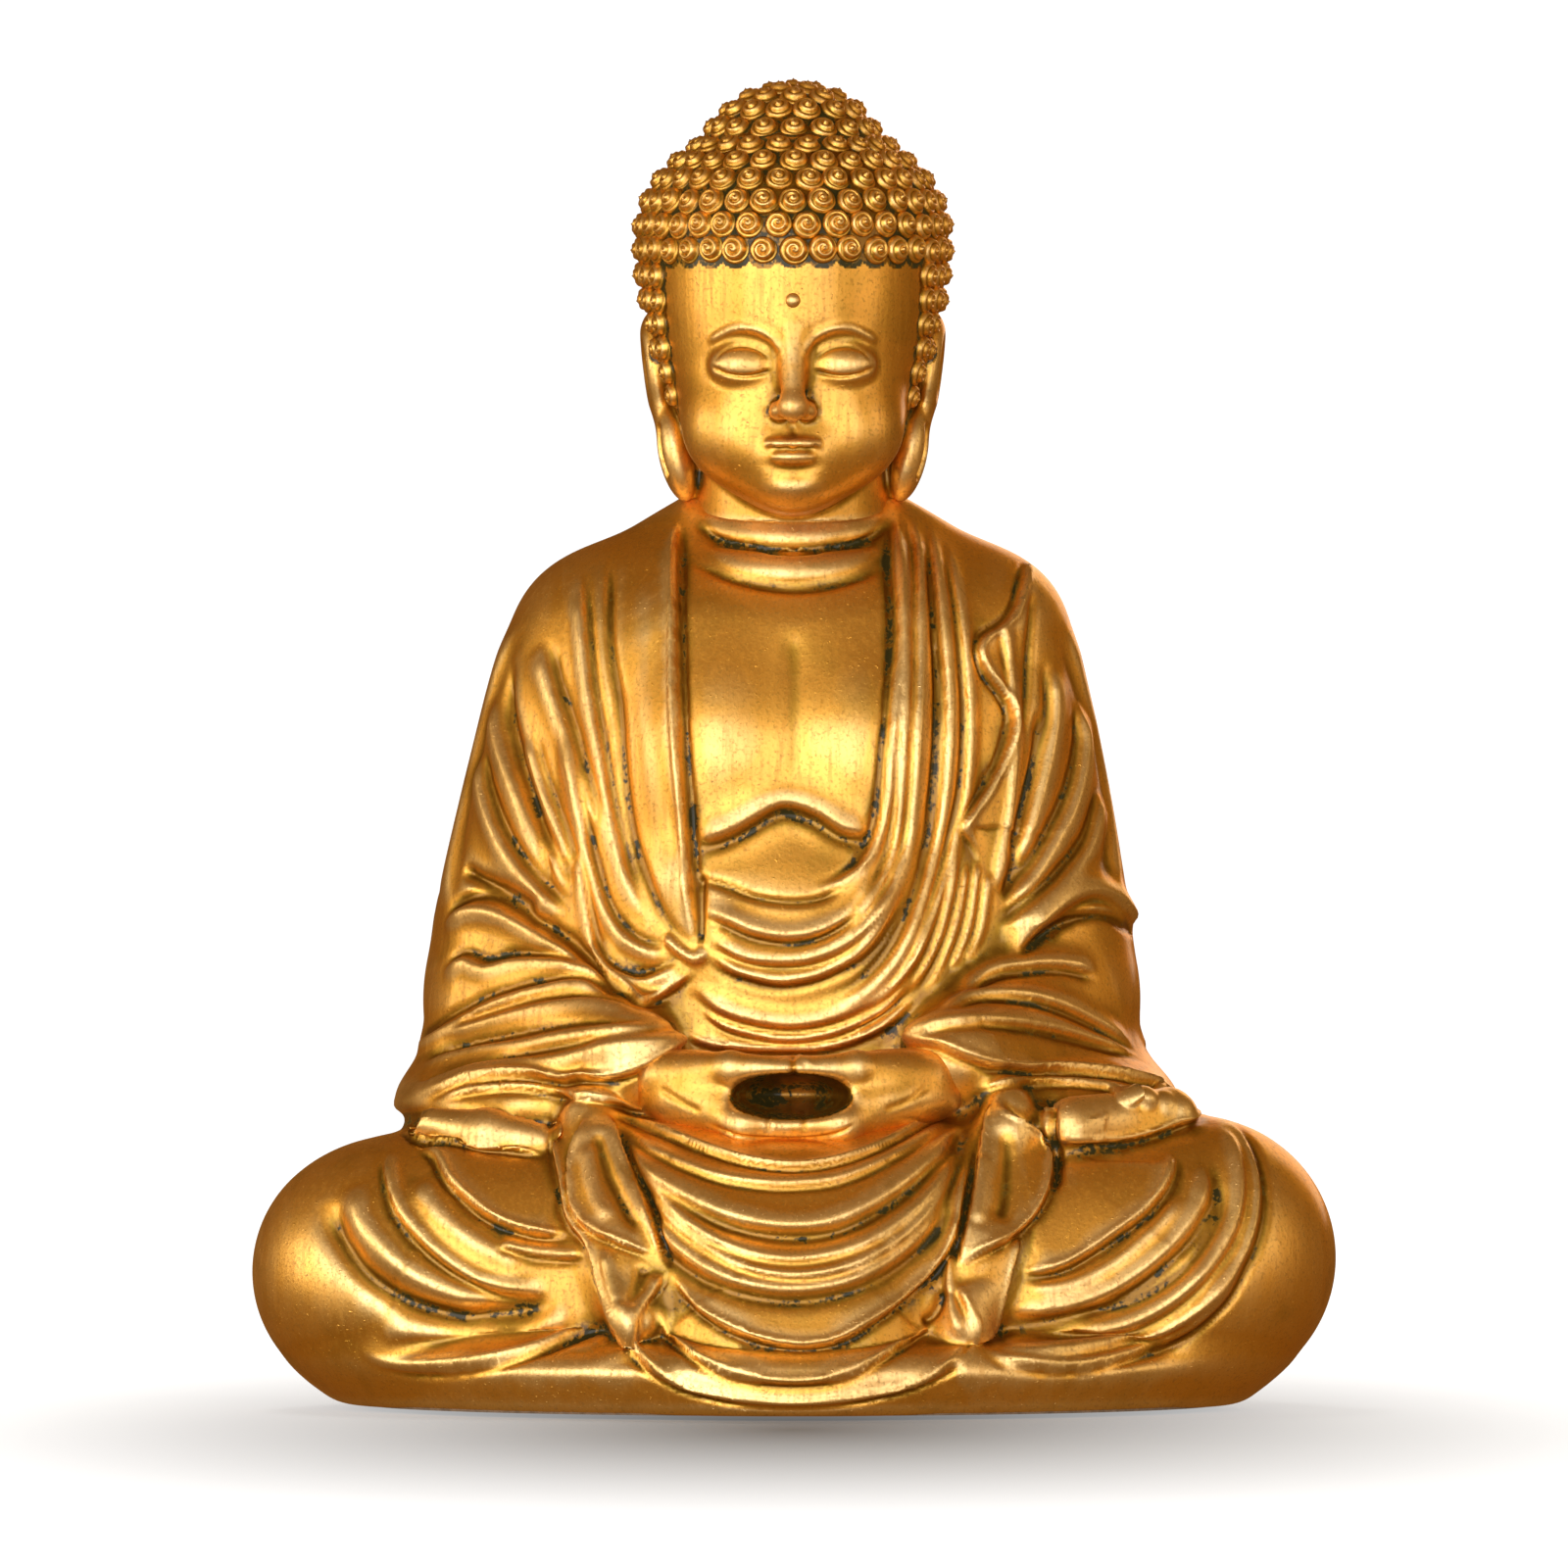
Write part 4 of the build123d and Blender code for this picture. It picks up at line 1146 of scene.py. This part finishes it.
def board_material():
    """Dark stained fibreboard."""
    paint = Paint("stained_board")
    fibre = paint.noise(420, 6, (1.0, 3.0, 1.0))
    paint.shade("Base Color", paint.ramp(fibre, [(0.3, (0.09, 0.055, 0.03)), (0.7, (0.16, 0.10, 0.06))]))
    paint.shade("Roughness", 0.75)
    paint.bumps([(fibre, 0.3, 0.0004)])
    return paint.material


def felt_material():
    """Pressed black felt."""
    paint = Paint("pressed_felt")
    fibre = paint.noise(1800, 8, distortion=1.5)
    paint.shade("Base Color", paint.ramp(fibre, [(0.35, (0.015, 0.015, 0.016)), (0.7, (0.06, 0.06, 0.062))]))
    paint.shade("Roughness", 0.95)
    paint.shade("Sheen Weight", 0.4)
    paint.bumps([(fibre, 0.6, 0.0004)])
    return paint.material


def steel_material():
    """Ground steel rod."""
    paint = Paint("ground_steel")
    scratches = paint.noise(900, 3, (1.0, 1.0, 0.05))
    paint.shade("Base Color", paint.ramp(scratches, [(0.3, (0.42, 0.42, 0.44)), (0.7, (0.62, 0.62, 0.64))]))
    paint.shade("Metallic", 1.0)
    paint.shade("Roughness", 0.35)
    paint.bumps([(scratches, 0.15, 0.0002)])
    return paint.material


# ---- pieces -------------------------------------------------------------------------------
def make_body(gold):
    """The leg and torso castings: one surface, parted at the bond plane."""
    points, quads = grow(body, (-134, -96, -6), (134, 96, 212), 3.2, 2)
    points = folded(body, points)
    cavity = cavity_of(points, quads)
    torso = keep_side(mesh_object("torso", points, quads, cavity), DECK_Z, True)
    legs_piece = keep_side(mesh_object("legs", points, quads, cavity), DECK_Z, False)
    place(torso, "gold_casting", gold, "torso_casting")
    place(legs_piece, "gold_casting", gold, "leg_casting")


def make_hands(gold):
    points, quads = hand_mesh()
    cavity = cavity_of(points, quads)
    # painted shade and patina in the hollow between the hands
    cavity = np.where(hollow(points) < 0.6, HOLLOW_SHADE_DEPTH, cavity)
    place(mesh_object("hands", points, quads, cavity), "gold_casting", gold, "hands_casting")


def make_head(gold, places, scalp_shade_depth):
    """The head. The scalp round the curls is given the depth of a hollow, so that it is painted dark between
    the curls, as patina and painted shade.
    """
    points, quads = head_mesh()
    cavity = cavity_of(points, quads)
    for spot in places:
        gap = np.linalg.norm(points - spot, axis=1)
        cavity = np.maximum(cavity, np.where(gap < CURL_R + 0.9, scalp_shade_depth, -9))
    place(mesh_object("head", points, quads, cavity), "gold_casting", gold, "head_casting")


def make_hair(gold, name, places, seed, node):
    points, faces, depth = hair_mesh(places, seed)
    place(mesh_object(name, points, faces, depth), "gold_trim", gold, node)


def make_bead(gold):
    """Round bead on the forehead, pressed flat where it sits."""
    low, high = (np.array(corner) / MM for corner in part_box("forehead_bead"))
    centre = np.array([0, low[1] + 1.7, (low[2] + high[2]) / 2])

    def bead(p):
        d = egg(p, centre, (1.75, 1.5, 1.75))
        return join(d, egg(p, centre + np.array([0, 1.2, 0]), (2.3, 0.9, 2.3)), 0.5)

    points, quads = grow(bead, centre - 4, centre + 4, 0.8, 1)
    place(mesh_object("bead", points, quads, cavity_of(points, quads)), "gold_trim", gold, "forehead_bead")


def finish_cad(name, material):
    """A better material on a CAD node that keeps its shape."""
    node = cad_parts[name]
    for slot in node.material_slots:
        slot.material = material


body_gold = gold_material("rubbed_gold_with_painted_light", -0.45, 0.60, 0.36)
curl_gold = gold_material("curl_gold", -0.5, 1.1, 0.75)
make_body(body_gold)
make_hands(body_gold)
skull_places, crown_places = hair_places()
make_head(body_gold, np.concatenate([skull_places, crown_places]), 1.5)
make_hair(curl_gold, "skull_hair", skull_places, 11, "skull_curls")
make_hair(curl_gold, "crown_hair", crown_places, 12, "crown_curls")
make_bead(curl_gold)
finish_cad("base_plate", board_material())
finish_cad("felt_pads", felt_material())
steel = steel_material()
finish_cad("torso_dowels", steel)
finish_cad("hand_pegs", steel)


# ---- floor, light and camera --------------------------------------------------------------
STAGE_R = 8.0
STAGE_CURVE = 1.5                           # radius of the curve between floor and wall
STAGE_TALL = 4.0
STAGE_SPOKES, CURVE_STEPS = 64, 12
STAGE_GREY = (0.14, 0.14, 0.14)
STAGE_GLOW = 0.02
# The dim patch is a painted shadow: the floor glows less in front of the figure.
DIM_MIDDLE = (0.0, -0.12, 0.0)              # middle of the dim patch on the floor
DIM_STRETCH = (1.9, 1.0, 1.0)               # how much faster its glow rises along each axis
DIM_FROM, DIM_TO = 0.0, 0.42


def stage_mesh():
    """A floor that curves up into a wall all the way round."""
    side = [(0.0, 0.0), (0.5, 0.0), (STAGE_R - STAGE_CURVE, 0.0)]
    for i in range(1, CURVE_STEPS + 1):
        angle = i / CURVE_STEPS * pi / 2
        side.append((STAGE_R - STAGE_CURVE * (1 - sin(angle)), STAGE_CURVE * (1 - cos(angle))))
    side.append((STAGE_R, STAGE_TALL))
    turns = [2 * pi * i / STAGE_SPOKES for i in range(STAGE_SPOKES)]
    verts = [(reach * cos(turn), reach * sin(turn), height) for reach, height in side for turn in turns]
    faces = []
    for ring in range(len(side) - 1):
        for i in range(STAGE_SPOKES):
            here, after = ring * STAGE_SPOKES + i, ring * STAGE_SPOKES + (i + 1) % STAGE_SPOKES
            faces.append((here, after, after + STAGE_SPOKES, here + STAGE_SPOKES))
    mesh = bpy.data.meshes.new("stage")
    mesh.from_pydata(verts, [], faces)
    mesh.shade_smooth()
    return mesh


def stage_material():
    """Pale and glowing, and less so in front of the figure, as if in its shadow."""
    paint = Paint("pale_stage")
    paint.shade("Base Color", STAGE_GREY)
    paint.shade("Roughness", 0.9)
    paint.shade("Emission Color", WHITE)
    spot = paint.nodes.new("ShaderNodeTexCoord")
    away = paint.vector("SUBTRACT", spot.outputs["Object"], DIM_MIDDLE)
    wide = paint.vector("MULTIPLY", away, DIM_STRETCH)
    reach = paint.nodes.new("ShaderNodeVectorMath")
    reach.operation = "LENGTH"
    paint.links.new(wide, reach.inputs[0])
    share = paint.spread(reach.outputs["Value"], DIM_FROM, DIM_TO)
    paint.shade("Emission Strength", paint.plus(share, STAGE_GLOW))
    return paint.material


def round_stage():
    """The floor and wall, far from the figure, and not seen in the gold's reflections."""
    mesh = stage_mesh()
    stage = bpy.data.objects.new("stage", mesh)
    bpy.context.collection.objects.link(stage)
    stage.visible_glossy = False
    mesh.materials.append(stage_material())


WORLD_COLOUR, WORLD_STRENGTH = (1.0, 0.52, 0.12), 0.22
LIGHTS = [
    # name, place, aim, size, watts, colour, and whether the gold reflects it
    ("key", (-0.60, -1.50, 0.36), (0, 0, 0.14), (1.3, 1.3), 17.6, (1, 1, 1), True),
    ("front", (0.55, -1.50, 0.30), (0, 0, 0.12), (0.9, 1.0), 6.8, (1, 1, 1), True),
    ("left", (-1.5, -0.50, 0.33), (0, 0, 0.10), (1.1, 0.62), 7.5, (1.0, 0.90, 0.70), True),
    ("right", (1.4, -0.65, 0.40), (0, 0, 0.12), (0.7, 0.8), 2.6, (1.0, 0.82, 0.52), True),
    ("back", (0.55, 1.45, 0.65), (0, 0, 0.12), (1.1, 0.9), 6, (1.0, 0.84, 0.58), True),
    ("over", (-0.35, 0.55, 1.5), (0, 0, 0.0), (0.5, 0.5), 14, (1, 1, 1), False),
]
CAMERA_TILT = radians(1.1)
CAMERA_AWAY = 5.0
CAMERA_LENS = 509
CAMERA_AIM = (-0.002, 0.0, 0.1400)


def look_along(direction):
    """The rotation that points an object's -Z along a direction, with its Y up."""
    return Vector(direction).to_track_quat("-Z", "Y").to_euler()


def area_light(name, at, aim, size, watts, colour, in_gold):
    """A soft box."""
    light = bpy.data.lights.new(name, "AREA")
    light.shape = "RECTANGLE"
    light.size, light.size_y = size
    light.energy = watts
    light.color = colour
    lamp = bpy.data.objects.new(name, light)
    lamp.location = at
    lamp.rotation_euler = look_along(np.array(aim) - np.array(at))
    lamp.visible_glossy = in_gold
    bpy.context.collection.objects.link(lamp)


def world_light():
    world = bpy.data.worlds.new("studio")
    world.use_nodes = True
    background = world.node_tree.nodes["Background"]
    background.inputs["Color"].default_value = (*WORLD_COLOUR, 1)
    background.inputs["Strength"].default_value = WORLD_STRENGTH
    bpy.context.scene.world = world


def front_camera():
    camera = bpy.data.cameras.new("camera")
    camera.lens = CAMERA_LENS
    eye = bpy.data.objects.new("camera", camera)
    back = np.array([0, -cos(CAMERA_TILT), sin(CAMERA_TILT)]) * CAMERA_AWAY
    eye.location = np.array(CAMERA_AIM) + back
    eye.rotation_euler = look_along(-back)
    bpy.context.collection.objects.link(eye)
    bpy.context.scene.camera = eye


round_stage()
world_light()
for light in LIGHTS:
    area_light(*light)
front_camera()
bpy.context.scene.view_settings.view_transform = "Standard"
